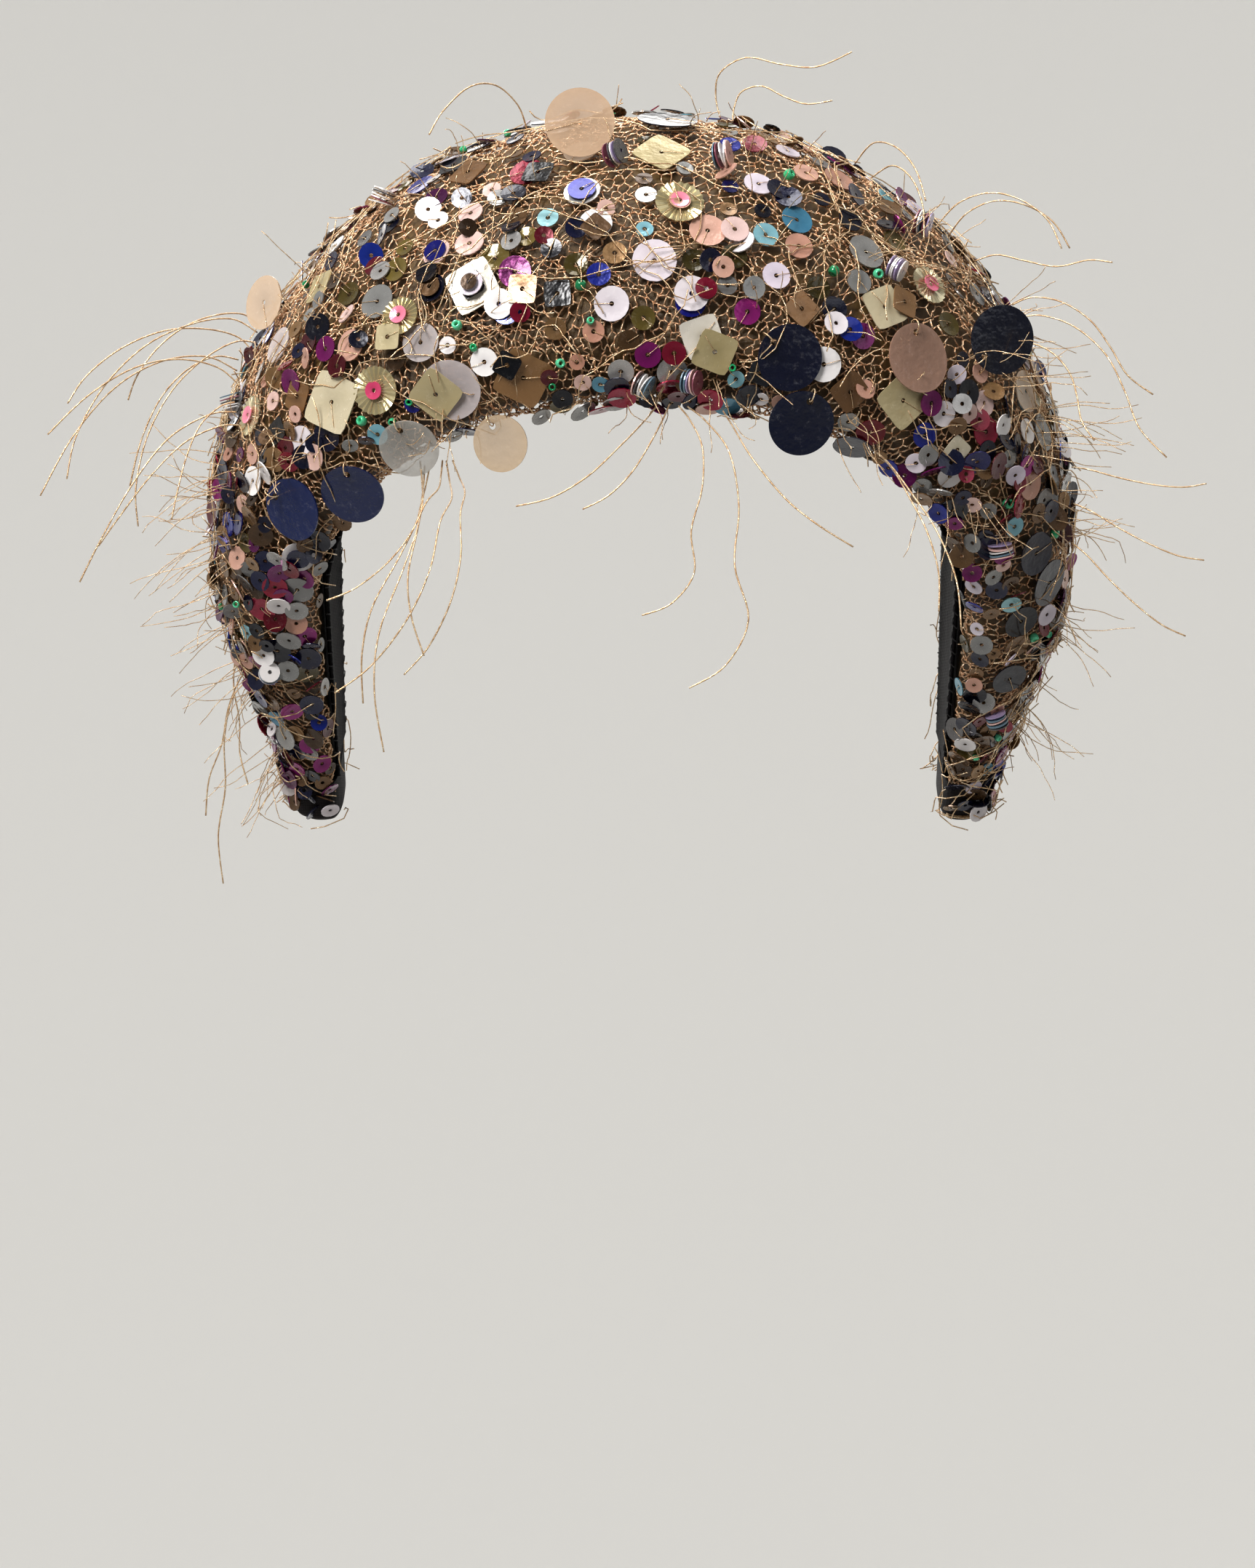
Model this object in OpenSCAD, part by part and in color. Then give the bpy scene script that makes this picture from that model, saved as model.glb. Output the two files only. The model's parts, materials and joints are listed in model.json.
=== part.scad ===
// Halo headpiece: a padded crescent hair band covered with satin, metallic net and sequins.
// The frame is as worn: +Z up, the face looks along -Y, the origin is where the lining meets the crown.
// A place on the cover is given by two numbers: "along", the distance in mm from the crown
// (negative on the left), and "across", an angle from the front edge (0) over the top (90)
// to the back edge (180).

/* [Arch] */
// Half the width between the legs at the widest level
arch_half = 77.5; // [66:0.5:92]
// Height of the arch above the widest level
arch_rise = 73; // [62:0.5:86]
// Length of each leg below the widest level
leg_len = 78; // [60:1:95]
// Half the width between the tips
tip_half = 77; // [66:0.5:92]
// Forward lean of the whole band, in degrees
lean = 35; // [20:1:42]
// Extra forward roll of the cushion at the crown, in degrees
roll = 17; // [0:1:22]

/* [Cushion] */
// Width from the front edge to the back edge at the crown
crown_w = 84; // [68:1:100]
// Width at the tips
tip_w = 20; // [18:0.5:26]
// Height at the crown
crown_t = 30; // [24:0.5:38]
// Height at the sides
side_t = 27; // [22:0.5:34]
// Height at the tips
tip_t = 13; // [12:0.5:17]
// Radius of the head from front to back under the band
head_r = 110; // [90:5:150]

/* [Layers] */
// Thickness of the metallic net
net_t = 0.5; // [0.3:0.05:0.7]
// Thickness of the satin
satin_t = 0.5; // [0.3:0.05:0.7]
// Thickness of the wadding
wadding_t = 2.8; // [1.5:0.1:3.2]
// Thickness of the lining ribbon
lining_t = 0.7; // [0.4:0.05:0.8]
// Width of the spring band at the crown
spring_w = 22; // [14:1:26]
// Thickness of the spring band
spring_t = 1.4; // [1:0.1:1.6]
// Thickness of the buckram base
buckram_t = 0.8; // [0.5:0.1:1]
// Diameter of the edge wires
wire_d = 1.1; // [0.8:0.1:1.2]
// Thickness of the tip bindings
binding_t = 0.8; // [0.5:0.1:1.2]
// Length of the tip bindings
binding_len = 15; // [10:1:20]
// Clearance between soft layers
layer_gap = 0.15; // [0.1:0.05:0.3]
// Clearance between the hard layers under the foam
base_gap = 0.3; // [0.2:0.05:0.4]

/* [Sequins] */
// Thickness of a sequin
sequin_t = 0.3; // [0.2:0.05:0.4]
// Diameter of the hole in a sequin
sequin_hole = 1.1; // [0.8:0.1:1.3]
// Distance between columns of scattered sequins, along the crown line
column_pitch = 7; // [6:0.5:10]
// Distance between scattered sequins from front to back
row_pitch = 7.4; // [6.8:0.2:10]
// Height of the lowest sequins above the net
sequin_lift = 0.3; // [0.2:0.1:0.6]
// Height from one layer of sequins to the next
layer_step = 0.9; // [0.8:0.1:1.3]

/* [Paillettes] */
// Thickness of a paillette
paillette_t = 0.4; // [0.3:0.05:0.5]
// Diameter of the stitch hole in a paillette
stitch_hole = 1.6; // [1.5:0.1:2]
// Material between the stitch hole and the rim
stitch_rim = 1.4; // [1:0.1:1.6]
// Thickness of the thread loop that holds a paillette
loop_t = 0.3; // [0.2:0.05:0.4]

/* [Threads] */
// Diameter of the loose metallic threads
thread_d = 0.4; // [0.3:0.05:0.6]

/* [Hidden] */

// ---- places and directions ----
arc_len = 90 * PI / 180 * sqrt((arch_half * arch_half + arch_rise * arch_rise) / 2);
half_len = arc_len + leg_len;
side_share = 0.6;                     // where along a half the side height is reached
boxiness = 0.8;                       // exponent of the rounded section, 1 is an ellipse
fullness = 1.7;                       // how long the width holds before it tapers
belly_share = 0.35;                   // height of the widest level of the section
belly_over_foam = 0.7;                // least height of that level above the foam's underside
side_axis = [1, 0, 0];
up_axis = [0, -sin(lean), cos(lean)];
front_axis = [0, -cos(lean), -sin(lean)];

function signed_pow(v, e) = sign(v) * pow(abs(v), e);
function share(t) = min(1, abs(t) / half_len);
function ease(r) = (1 + cos(180 * r)) / 2;
function width_at(t) = tip_w + (crown_w - tip_w) * (1 - pow(share(t), fullness));
function height_at(t) = share(t) < side_share
    ? side_t + (crown_t - side_t) * ease(share(t) / side_share)
    : tip_t + (side_t - tip_t) * ease((share(t) - side_share) / (1 - side_share));
function belly_at(t) = max(belly_share * height_at(t), foam_n + belly_over_foam);

// centre line of the band: a half ellipse, then two legs that draw in a little
leg_bend = (arch_half - tip_half) / (leg_len * leg_len);
function on_arch(t) = abs(t) <= arc_len;
function arch_angle(t) = 90 * abs(t) / arc_len;
function leg_at(t) = abs(t) - arc_len;
function side_at(t) = on_arch(t) ? arch_half * sin(arch_angle(t)) : arch_half - leg_bend * pow(leg_at(t), 2);
function rise_at(t) = on_arch(t) ? arch_rise * cos(arch_angle(t)) : -leg_at(t);
function heading(t) = on_arch(t)
    ? [arch_half * cos(arch_angle(t)), -arch_rise * sin(arch_angle(t))]
    : [-2 * leg_bend * leg_at(t), -1];
function unit(v) = v / norm(v);
function outward_at(t) = let (h = unit(heading(t)), s = t < 0 ? -1 : 1)
    -s * h[1] * side_axis + h[0] * up_axis;
function centre_at(t) = (t < 0 ? -1 : 1) * side_at(t) * side_axis + (rise_at(t) - arch_rise) * up_axis;
function roll_at(t) = roll * cos(90 * min(1, abs(t) / arc_len));
function front_at(t) = front_axis * cos(roll_at(t)) - outward_at(t) * sin(roll_at(t));
function normal_at(t) = outward_at(t) * cos(roll_at(t)) + front_axis * sin(roll_at(t));

// a point of the section: "s" towards the face, "n" away from the head
function section_point(t, s, n) =
    centre_at(t) + s * front_at(t) + (n - s * s / (2 * head_r)) * normal_at(t);
// a point of a layer that lies "inset" inside the outer face of the net, its floor at n = floor_n
function layer_point(t, across, inset, floor_n) =
    let (
        s = (width_at(t) / 2 - inset) * signed_pow(cos(across), boxiness),
        up = signed_pow(sin(across), boxiness),
        belly = belly_at(t),
        n = up >= 0 ? belly + (height_at(t) - inset - belly) * up : belly + (belly - floor_n) * up
    )
    section_point(t, s, n);
function cover_point(t, across) = layer_point(t, across, 0, 0);
function along_dir(t, across) = unit(cover_point(t + 0.5, across) - cover_point(t - 0.5, across));
function cover_normal(t, across) = unit(cross(
    cover_point(t + 0.5, across) - cover_point(t - 0.5, across),
    cover_point(t, across + 1) - cover_point(t, across - 1)));

// ---- solids from grids of points ----
function flat(rows) = [for (r = rows) for (p = r) p];
function quad(a, b, c, d) = [[a, c, b], [a, d, c]];
// a sheet with a thickness: two grids of equal size, joined along their four edges
module thick_sheet(outer, inner) {
    n = len(outer);
    m = len(outer[0]);
    k = n * m;
    faces = concat(
        [for (i = [0 : n - 2]) for (j = [0 : m - 2])
            each quad(i * m + j, (i + 1) * m + j, (i + 1) * m + j + 1, i * m + j + 1)],
        [for (i = [0 : n - 2]) for (j = [0 : m - 2])
            each quad(k + i * m + j, k + i * m + j + 1, k + (i + 1) * m + j + 1, k + (i + 1) * m + j)],
        [for (i = [0 : n - 2])
            each quad(i * m, k + i * m, k + (i + 1) * m, (i + 1) * m)],
        [for (i = [0 : n - 2])
            each quad(i * m + m - 1, (i + 1) * m + m - 1, k + (i + 1) * m + m - 1, k + i * m + m - 1)],
        [for (j = [0 : m - 2])
            each quad(j, j + 1, k + j + 1, k + j)],
        [for (j = [0 : m - 2])
            each quad((n - 1) * m + j, k + (n - 1) * m + j, k + (n - 1) * m + j + 1, (n - 1) * m + j + 1)]
    );
    polyhedron(points = concat(flat(outer), flat(inner)), faces = faces, convexity = 6);
}
// a closed skin over a row of rings, with a flat end on the first and the last ring
module skin(rings) {
    n = len(rings);
    m = len(rings[0]);
    faces = concat(
        [for (i = [0 : n - 2]) for (j = [0 : m - 1])
            each quad(i * m + j, i * m + (j + 1) % m, (i + 1) * m + (j + 1) % m, (i + 1) * m + j)],
        [for (j = [1 : m - 2]) [0, j, j + 1]],
        [for (j = [1 : m - 2]) [(n - 1) * m, (n - 1) * m + j + 1, (n - 1) * m + j]]
    );
    polyhedron(points = flat(rings), faces = faces, convexity = 6);
}

long_steps = 36;                      // stations from tip to tip
round_step = 15;                      // degrees between the lines that run along a layer
// all layers share their stations, so that their facets stay parallel; a short layer ends early
function stations(end) = concat(
    [-end],
    [for (i = [0 : long_steps]) let (t = cover_end * (2 * i / long_steps - 1)) if (abs(t) < end - 1) t],
    [end]);
// a layer of cloth over the dome, from one angle across to another
module cloth_layer(inset, thickness, end, from, to) {
    angles = [for (a = [from : round_step : to]) a];
    outer = [for (t = stations(end)) [for (a = angles) layer_point(t, a, inset, inset)]];
    deep = inset + thickness;
    inner = [for (t = stations(end)) [for (a = angles) layer_point(t, a, deep, deep)]];
    thick_sheet(outer, inner);
}
// a flat strip that follows the head: half width by a function's values, from level lo to hi
module strip(half_widths, lo, hi, end, steps) {
    ts = stations(end);
    function level(n) = [for (i = [0 : len(ts) - 1]) [for (j = [0 : steps])
        section_point(ts[i], half_widths[i] * (1 - 2 * j / steps), n)]];
    thick_sheet(level(hi), level(lo));
}

// ---- levels of the structure, away from the head ----
spring_n = lining_t + base_gap;
buckram_n = spring_n + spring_t + base_gap;
foam_n = buckram_n + max(buckram_t, wire_d) + base_gap;
satin_inset = net_t + layer_gap;
wadding_inset = satin_inset + satin_t + layer_gap;
foam_inset = wadding_inset + wadding_t + layer_gap;
turn_under = 45;                      // angle below the belly where the covers end
turn_share = pow(cos(turn_under), boxiness) / 2;   // the same place as a share of the width
base_share = turn_share - 0.02;       // half width of the base, as a share of the width
cover_end = half_len - 3;
spring_end = half_len - 4;
soft_end = half_len - 6;
base_end = half_len - 8;
lining_end = half_len - binding_len - base_gap;
binding_gap = 0.3;                    // clearance between the cover and the tip bindings

module lining_ribbon() {
    widths = [for (t = stations(lining_end)) width_at(t) * base_share];
    color([0.13, 0.12, 0.14]) strip(widths, 0, lining_t, lining_end, 6);
}

module spring_band() {
    widths = [for (t = stations(spring_end)) min(spring_w, width_at(t) * 0.55) / 2];
    color([0.1, 0.1, 0.1]) strip(widths, spring_n, spring_n + spring_t, spring_end, 2);
}

module buckram_base() {
    widths = [for (t = stations(base_end)) width_at(t) * base_share - wire_d - base_gap];
    color([0.85, 0.82, 0.74]) strip(widths, buckram_n, buckram_n + buckram_t, base_end, 6);
}

wire_sides = 8;
module edge_wire(side) {
    rings = [for (t = stations(base_end))
        let (
            s = side * (width_at(t) * base_share - wire_d / 2),
            mid = section_point(t, s, buckram_n + wire_d / 2),
            away = unit(section_point(t, s, 1) - section_point(t, s, 0)),
            out = unit(front_at(t) - (front_at(t) * away) * away)
        )
        [for (k = [0 : wire_sides - 1]) let (a = -360 * k / wire_sides)
            mid + wire_d / 2 * (cos(a) * out + sin(a) * away)]];
    color([0.75, 0.75, 0.77]) skin(rings);
}
module front_edge_wire() { edge_wire(1); }
module back_edge_wire() { edge_wire(-1); }

module foam_pad() {
    angles = [for (a = [-turn_under : round_step : 180 + turn_under]) a];
    dome = [for (t = stations(soft_end)) [for (a = angles) layer_point(t, a, foam_inset, foam_n)]];
    underside = [for (t = stations(soft_end)) [for (a = angles)
        let (reach = (width_at(t) / 2 - foam_inset) * 2 * turn_share)
        section_point(t, reach * cos((a + turn_under) / (180 + 2 * turn_under) * 180), foam_n)]];
    color([0.93, 0.91, 0.85]) thick_sheet(dome, underside);
}

module wadding_layer() {
    color([0.96, 0.96, 0.94]) cloth_layer(wadding_inset, wadding_t, soft_end, 0, 180);
}

module satin_cover() {
    color([0.52, 0.42, 0.27])
        cloth_layer(satin_inset, satin_t, cover_end, -turn_under, 180 + turn_under);
}

module net_cover() {
    color([0.72, 0.55, 0.42])
        cloth_layer(0, net_t, cover_end, -turn_under, 180 + turn_under);
}

// a cup that closes over the end of the band
binding_sides = 20;
binding_rings = 3;
function binding_ring(side, t, out) = [for (k = [0 : binding_sides - 1])
    layer_point(side * t, -side * 360 * k / binding_sides, -out, -out)];
module tip_binding(side) {
    outer_out = binding_gap + binding_t;
    depths = [for (i = [0 : binding_rings]) half_len - binding_len * (1 - i / binding_rings)];
    inside = [for (i = [binding_rings : -1 : 0]) binding_ring(side, depths[i], binding_gap)];
    outside = [for (d = depths) binding_ring(side, d, outer_out)];
    end = [binding_ring(side, half_len + binding_t, binding_gap)];
    color([0.16, 0.14, 0.15]) skin(concat(inside, outside, end));
}
module tip_binding_left() { tip_binding(-1); }
module tip_binding_right() { tip_binding(1); }

// ---- sequins ----
// Spots placed by hand: [along, across, diameter or side, layer]. A higher layer lies on a lower one.
white_spots = [
    [2, 62, 10, 0], [-27, 52, 7, 1], [9, 50, 8, 1], [38, 32, 8, 0], [-33.5, 30, 6.5, 0], [24, 62, 6.5, 0],
    [19, 91, 7, 0], [-8, 76, 7.5, 0], [-39, 42, 4, 1], [66, 38, 6, 0], [-77, 42, 7, 0], [-6, 46, 8, 0],
    [-103, 4, 8, 0], [-31, 62, 6, 2], [78, 14, 6, 0], [-92, 52, 7, 0], [84, 66, 6, 0], [24, 112, 6, 0]
];
blush_spots = [
    [-29, 88, 6, 0], [-36, 79, 7, 0], [-30, 78, 7, 0], [-25, 92, 4.5, 0], [-57, 62, 7.5, 0], [11, 74, 8.5, 0],
    [15.5, 75, 6.5, 1], [27, 75, 6.5, 0], [33, 105, 8, 0], [-14, 10, 4, 0], [27, 101, 6, 0], [6, 82, 5, 2],
    [92, 50, 8, 0], [-10, 35, 5, 0], [68, 66, 5, 0], [33, 6, 4, 0], [-88, 61, 5, 0], [72, 56, 6, 0]
];
royal_blue_spots = [
    [-10, 87, 6.5, 1], [-36, 79, 5.5, 1], [-8, 57, 5.5, 1], [-26, 49, 6.5, 0], [-52, 23, 4, 0],
    [66, 23, 6, 0], [-38, 110, 7, 0], [9, 47, 7, 0], [-75, 100, 6, 0]
];
tip_gap = 28.26;                      // from the tip to the lowest sequin on the left leg
navy_spots = [
    [-38.5, 67, 7, 0], [36, 56, 6, 0], [-103, 4, 5.5, 1], [107, 36, 11, 0], [-16, 69, 5, 0], [30, 92, 4, 0],
    [-72, 34, 7, 0], [20, 84, 4, 0], [-44, 96, 6, 0], [-133, 12, 7, 0],
    [tip_gap - half_len, 20, 6, 0], [148, 70, 8, 0],
    [87, 2, 7, 0], [124, 20, 9, 0], [136, 44, 7, 0]
];
magenta_spots = [
    [-23, 63, 7.5, 0], [-62, 68, 6, 0], [20, 46, 6, 0], [62, 38, 6, 1], [1, 24, 6, 1], [-128, -8, 6, 0],
    [88, 52, 5, 1], [43, 50, 6, 0], [36, 118, 5, 0], [-98, 70, 6, 0]
];
crimson_spots = [
    [-65, 76, 6, 0], [-61, 57, 5.5, 1], [11.5, 52, 5, 2], [-19, 95, 8, 0], [6.5, 25, 5.5, 1],
    [-120, 20, 7, 0], [76, 46, 7, 0], [56, 8, 7, 0], [-48, 86, 5, 0]
];
aqua_spots = [
    [-16, 80, 5, 0], [26, 84, 7.5, 0], [21, 76, 6, 0], [98, 28, 5, 0], [118, 12, 5, 0], [80, 76, 6, 0],
    [-63, 18, 5, 0], [-130, 36, 5, 0], [-10, 8, 4, 0], [-158, 32, 5, 0]
];
silver_spots = [
    [-10, 87, 8.5, 0], [0.5, 85, 5, 0], [-49, 72, 8.5, 0], [39, 82, 9, 0], [15.5, 55, 4.5, 0], [39, 70, 6, 0],
    [-113, 0, 8, 0], [88, 76, 9, 0], [6.5, 15, 7, 0], [-5, 15, 6, 0], [-43, 98, 4.5, 1],
    [50, 8, 5, 0], [30, 112, 5, 0]
];
bronze_spots = [
    [-38.5, 67, 5, 1], [-5, 65, 5.5, 0], [-17.5, 38, 5, 0], [-3, 30, 5, 0], [-31, 62, 4, 3], [99, 47, 5, 0],
    [-50, 46, 5, 0], [-112, 46, 8, 0], [110, 71, 7, 0], [132, 20, 7, 0],
    [-146, 48, 7, 0], [156, 40, 7, 0], [-96, 84, 7, 0], [104, 84, 7, 0]
];
fluted_spots = [
    [6, 82, 11, 1], [-57, 38, 11, 0], [-45.5, 61, 9, 1], [52, 83, 9.5, 0], [-84, 76, 9.5, 0], [78, 104, 9, 0]
];
gold_square_spots = [
    [3, 98, 9.5, 0], [-31, 62, 10, 0], [57, 32, 9.5, 0], [-46, 23, 9, 1], [45, 65, 8.5, 0], [-66, 49, 9, 0],
    [12, 33, 8, 0], [-49, 55, 5.5, 2], [-67, 36, 5, 1], [15, 27, 8, 1], [-60, 92, 7, 0], [74, 28, 5, 0]
];
bronze_square_spots = [
    [-22, 55, 6, 2], [-26, 24, 6, 0], [-28, 9, 5.5, 0], [46, 24, 7, 0], [-8, 74, 5, 1], [48, 70, 6, 1],
    [-29, 104, 7, 0], [-72, 60, 6, 0], [30, 52, 6, 0]
];
black_square_spots = [
    [-16, 52, 5.5, 0], [-29, 26, 5, 1], [-17, 93, 6, 1], [-31, 62, 5, 1], [-32, 115, 6, 0],
    [98, 64, 6, 0], [-80, 56, 5, 0], [26, 20, 5, 0]
];
olive_cup_spots = [
    [-26, 70, 7, 0], [-12, 62, 5.5, 0], [9, 63, 5.5, 0], [16, 66, 6, 0], [-20, 75, 5, 0],
    [0, 40, 5.5, 0], [32, 62, 5.5, 0], [-44, 80, 6, 0], [44, 90, 6, 0], [58, 74, 6, 0], [-54, 82, 6, 0]
];
bead_spots = [
    [-11.5, 54, 2.6, 0], [-36, 49, 2.4, 0], [34, 70, 2.6, 0], [42, 76, 2.4, 0], [24, 97, 2.6, 0],
    [37, 10, 2.4, 0], [92, 31, 2.6, 0], [106, 55, 2.4, 0], [-63.5, 29, 2.4, 0], [-18, 22, 2.2, 0],
    [69, 76, 2.2, 0], [131, 34, 2.4, 0]
];
// stacks of five sequins on one stitch, lying on their side: [along, across, diameter, turn]
stack_spots = [
    [-5, 95, 6, 80], [12, 96, 6.5, 85], [44, 80, 5.5, 60], [-1, 10, 6, 75], [10, 12, 6, 100],
    [48, 102, 6, 60], [-45, 110, 6, 120], [100, 14, 6, 70], [-88, 90, 5.5, 130], [-140, 20, 5.5, 60],
    [154, 14, 5.5, 110]
];
stack_count = 5;
stack_pitch = 0.75;
stack_tilt = 62;                      // how far a stack leans over, in degrees
// large discs sewn flat: [along, across, diameter, layer]
clear_spots = [[-43, 22, 14, 0], [-44, 48, 9, 0], [-72, 88, 9, 0]];
peach_spots = [
    [-9.5, 102, 16, 1, 47], [-10, 100, 8, 0], [-71, 102, 13, 1, 36], [79, 78, 10, 1], [84, 96, 10, 0]
];
dark_spots = [[4, 118, 14, 1], [116, 44, 12, 0], [143, 20, 9, 0], [56, -8, 9, 0]];

// ---- paillettes that hang from one stitch ----
// [along, across, diameter, direction of the disc from its stitch in degrees, droop, lift of the stitch]
// direction 0 points along the band to the right, 90 points to the back edge
left_outer = [-90, 36, 15, -80, 4, 2];
left_inner = [-74, 14, 15, -125, 2, 2];
smoke_left = [-57, 18, 14, -100, 4, 2.4];
forehead_left = [-38, 2, 13, -80, -40, 2.6];
forehead_right = [38, 17, 15, -90, -6, 3];
centre_navy = [25, 37, 15, -30, 6, 2];
mauve_right = [51, 62, 16, -60, 6, 2.6];
navy_right = [66, 68, 16, 75, -30, 2];
paillettes = [left_outer, left_inner, smoke_left, forehead_left, forehead_right,
    centre_navy, mauve_right, navy_right];

function stitch_point(p) = cover_point(p[0], p[1]) + p[5] * cover_normal(p[0], p[1]);
function across_dir(t, a) = cross(cover_normal(t, a), along_dir(t, a));
// directions of a paillette: its hinge axis, the way to its centre, and its face
function reach_dir(p) = let (
        flat_dir = cos(p[3]) * along_dir(p[0], p[1]) + sin(p[3]) * across_dir(p[0], p[1]))
    unit(cos(p[4]) * flat_dir - sin(p[4]) * cover_normal(p[0], p[1]));
function hinge_dir(p) = unit(cross(reach_dir(p), cover_normal(p[0], p[1])));
function face_dir(p) = cross(hinge_dir(p), reach_dir(p));

// ---- scattered sequins ----
// Each column crosses the band; the angles are spaced evenly by distance along the surface.
scatter_from = -40;                   // first angle of a column, under the front edge
scatter_to = 205;                     // last angle, over the back edge
arc_step = 7;
function column_arc(t) = let (angles = [for (a = [scatter_from : arc_step : scatter_to]) a])
    [for (i = 0, s = 0; i < len(angles);
        s = s + (i < len(angles) - 1 ? norm(cover_point(t, angles[i + 1]) - cover_point(t, angles[i])) : 0),
        i = i + 1) [s, angles[i]]];
scatter_end = half_len - binding_len - 5;
column_count = floor(scatter_end / column_pitch);
// colour classes of the scattered sequins, in the order used below, and how common each is
class_share = [0.07, 0.11, 0.04, 0.1, 0.05, 0.05, 0.05, 0.15, 0.28, 0.1];
function class_of(v, i = 0) = i >= len(class_share) - 1 || v < class_share[i]
    ? i : class_of(v - class_share[i], i + 1);
sizes = [3.6, 4, 4.6, 5, 6];
max_scatter_tilt = 14;
all_spots = concat(white_spots, blush_spots, royal_blue_spots, navy_spots, magenta_spots, crimson_spots,
    aqua_spots, silver_spots, bronze_spots, fluted_spots, gold_square_spots, bronze_square_spots,
    black_square_spots, olive_cup_spots, bead_spots, clear_spots, peach_spots, dark_spots);
spot_margin = 0.4;
kept_places = concat(
    [for (s = all_spots) [cover_point(s[0], s[1]), s[2] / 2]],
    [for (s = stack_spots) [cover_point(s[0], s[1]), s[2] * 0.75]],
    [for (p = paillettes) [cover_point(p[0], p[1]) + (p[2] - stitch_rim) / 2
        * (cos(p[3]) * along_dir(p[0], p[1]) + sin(p[3]) * across_dir(p[0], p[1])), p[2] / 2]]);
function is_free(point, radius) =
    len([for (k = kept_places) if (norm(k[0] - point) < k[1] + radius + spot_margin) 1]) == 0;
cells = [for (c = [-column_count : column_count])
    let (
        t = c * column_pitch,
        arc = column_arc(t),
        length = arc[len(arc) - 1][0],
        rows = floor(length / row_pitch)
    )
    for (r = [0 : rows - 1])
        let (
            v = rands(0, 1, 7, 40000 + c * 97 + r),
            place = (r + 0.5 + (c % 2 == 0 ? 0.25 : -0.25)) * length / rows + (v[0] - 0.5) * 0.6,
            along = t + (v[1] - 0.5) * 0.8,
            across = lookup(place, arc),
            size = sizes[floor(v[2] * 4.99)]
        )
        if (is_free(cover_point(along, across), size / 2))
            [along, across, size, class_of(v[3]), v[4] * 360, v[5] * max_scatter_tilt]];

module on_cover(t, across, lift, turn = 0, tilt = 0) {
    x = along_dir(t, across);
    z = cover_normal(t, across);
    y = cross(z, x);
    p = cover_point(t, across) + lift * z;
    multmatrix([
        [x[0], y[0], z[0], p[0]],
        [x[1], y[1], z[1], p[1]],
        [x[2], y[2], z[2], p[2]]
    ]) rotate([0, 0, turn]) rotate([tilt, 0, 0]) children();
}
module ring_disc(d, thickness, hole) {
    rotate_extrude($fn = 32) translate([hole / 2, 0]) square([(d - hole) / 2, thickness]);
}
module square_disc(side, thickness, hole) {
    difference() {
        translate([-side / 2, -side / 2, 0]) cube([side, side, thickness]);
        translate([0, 0, -thickness]) cylinder(d = hole, h = 3 * thickness, $fn = 24);
    }
}
module flat_sequins(spots, class) {
    for (s = spots)
        on_cover(s[0], s[1], sequin_lift + layer_step * s[3]) ring_disc(s[2], sequin_t, sequin_hole);
    for (c = cells)
        if (c[3] == class)
            on_cover(c[0], c[1], sequin_lift + c[2] / 2 * sin(c[5]) * 0.9, c[4], c[5])
                ring_disc(c[2], sequin_t, sequin_hole);
}
module flat_squares(spots) {
    for (s = spots)
        on_cover(s[0], s[1], sequin_lift + layer_step * s[3], 17 * s[0])
            square_disc(s[2], sequin_t, sequin_hole);
}
module white_sequins() { color([0.95, 0.94, 0.93]) flat_sequins(white_spots, 0); }
module blush_sequins() { color([0.88, 0.72, 0.68]) flat_sequins(blush_spots, 1); }
module royal_blue_sequins() { color([0.12, 0.15, 0.62]) flat_sequins(royal_blue_spots, 2); }
module navy_sequins() { color([0.08, 0.09, 0.2]) flat_sequins(navy_spots, 3); }
module magenta_sequins() { color([0.5, 0.08, 0.42]) flat_sequins(magenta_spots, 4); }
module crimson_sequins() { color([0.5, 0.06, 0.12]) flat_sequins(crimson_spots, 5); }
module aqua_sequins() { color([0.4, 0.7, 0.78]) flat_sequins(aqua_spots, 6); }
module silver_sequins() { color([0.66, 0.66, 0.68]) flat_sequins(silver_spots, 7); }
module bronze_sequins() { color([0.42, 0.3, 0.2]) flat_sequins(bronze_spots, 8); }
module gold_squares() { color([0.78, 0.7, 0.48]) flat_squares(gold_square_spots); }
module bronze_squares() { color([0.45, 0.32, 0.2]) flat_squares(bronze_square_spots); }
module black_squares() { color([0.06, 0.06, 0.07]) flat_squares(black_square_spots); }

flutes = 24;
flute_depth = 0.35;
module fluted_sequins() {
    color([0.85, 0.78, 0.55]) for (s = fluted_spots)
        on_cover(s[0], s[1], sequin_lift + layer_step * s[3]) difference() {
            linear_extrude(height = sequin_t) polygon([for (i = [0 : 2 * flutes - 1])
                let (r = s[2] / 2 - flute_depth * (i % 2), a = 180 * i / flutes)
                [r * cos(a), r * sin(a)]]);
            translate([0, 0, -sequin_t]) cylinder(d = sequin_hole, h = 3 * sequin_t, $fn = 24);
        }
}
cup_depth_share = 0.14;
module cup(d) {
    depth = d * cup_depth_share;
    rotate_extrude($fn = 32) polygon([
        [sequin_hole / 2, 0], [d / 2, depth], [d / 2, depth + sequin_t], [sequin_hole / 2, sequin_t]]);
}
module olive_cups() {
    color([0.36, 0.33, 0.16]) {
        for (s = olive_cup_spots) on_cover(s[0], s[1], sequin_lift) cup(s[2]);
        for (c = cells) if (c[3] == 9) on_cover(c[0], c[1], sequin_lift) cup(c[2]);
    }
}
bead_hole_share = 0.3;
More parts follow.
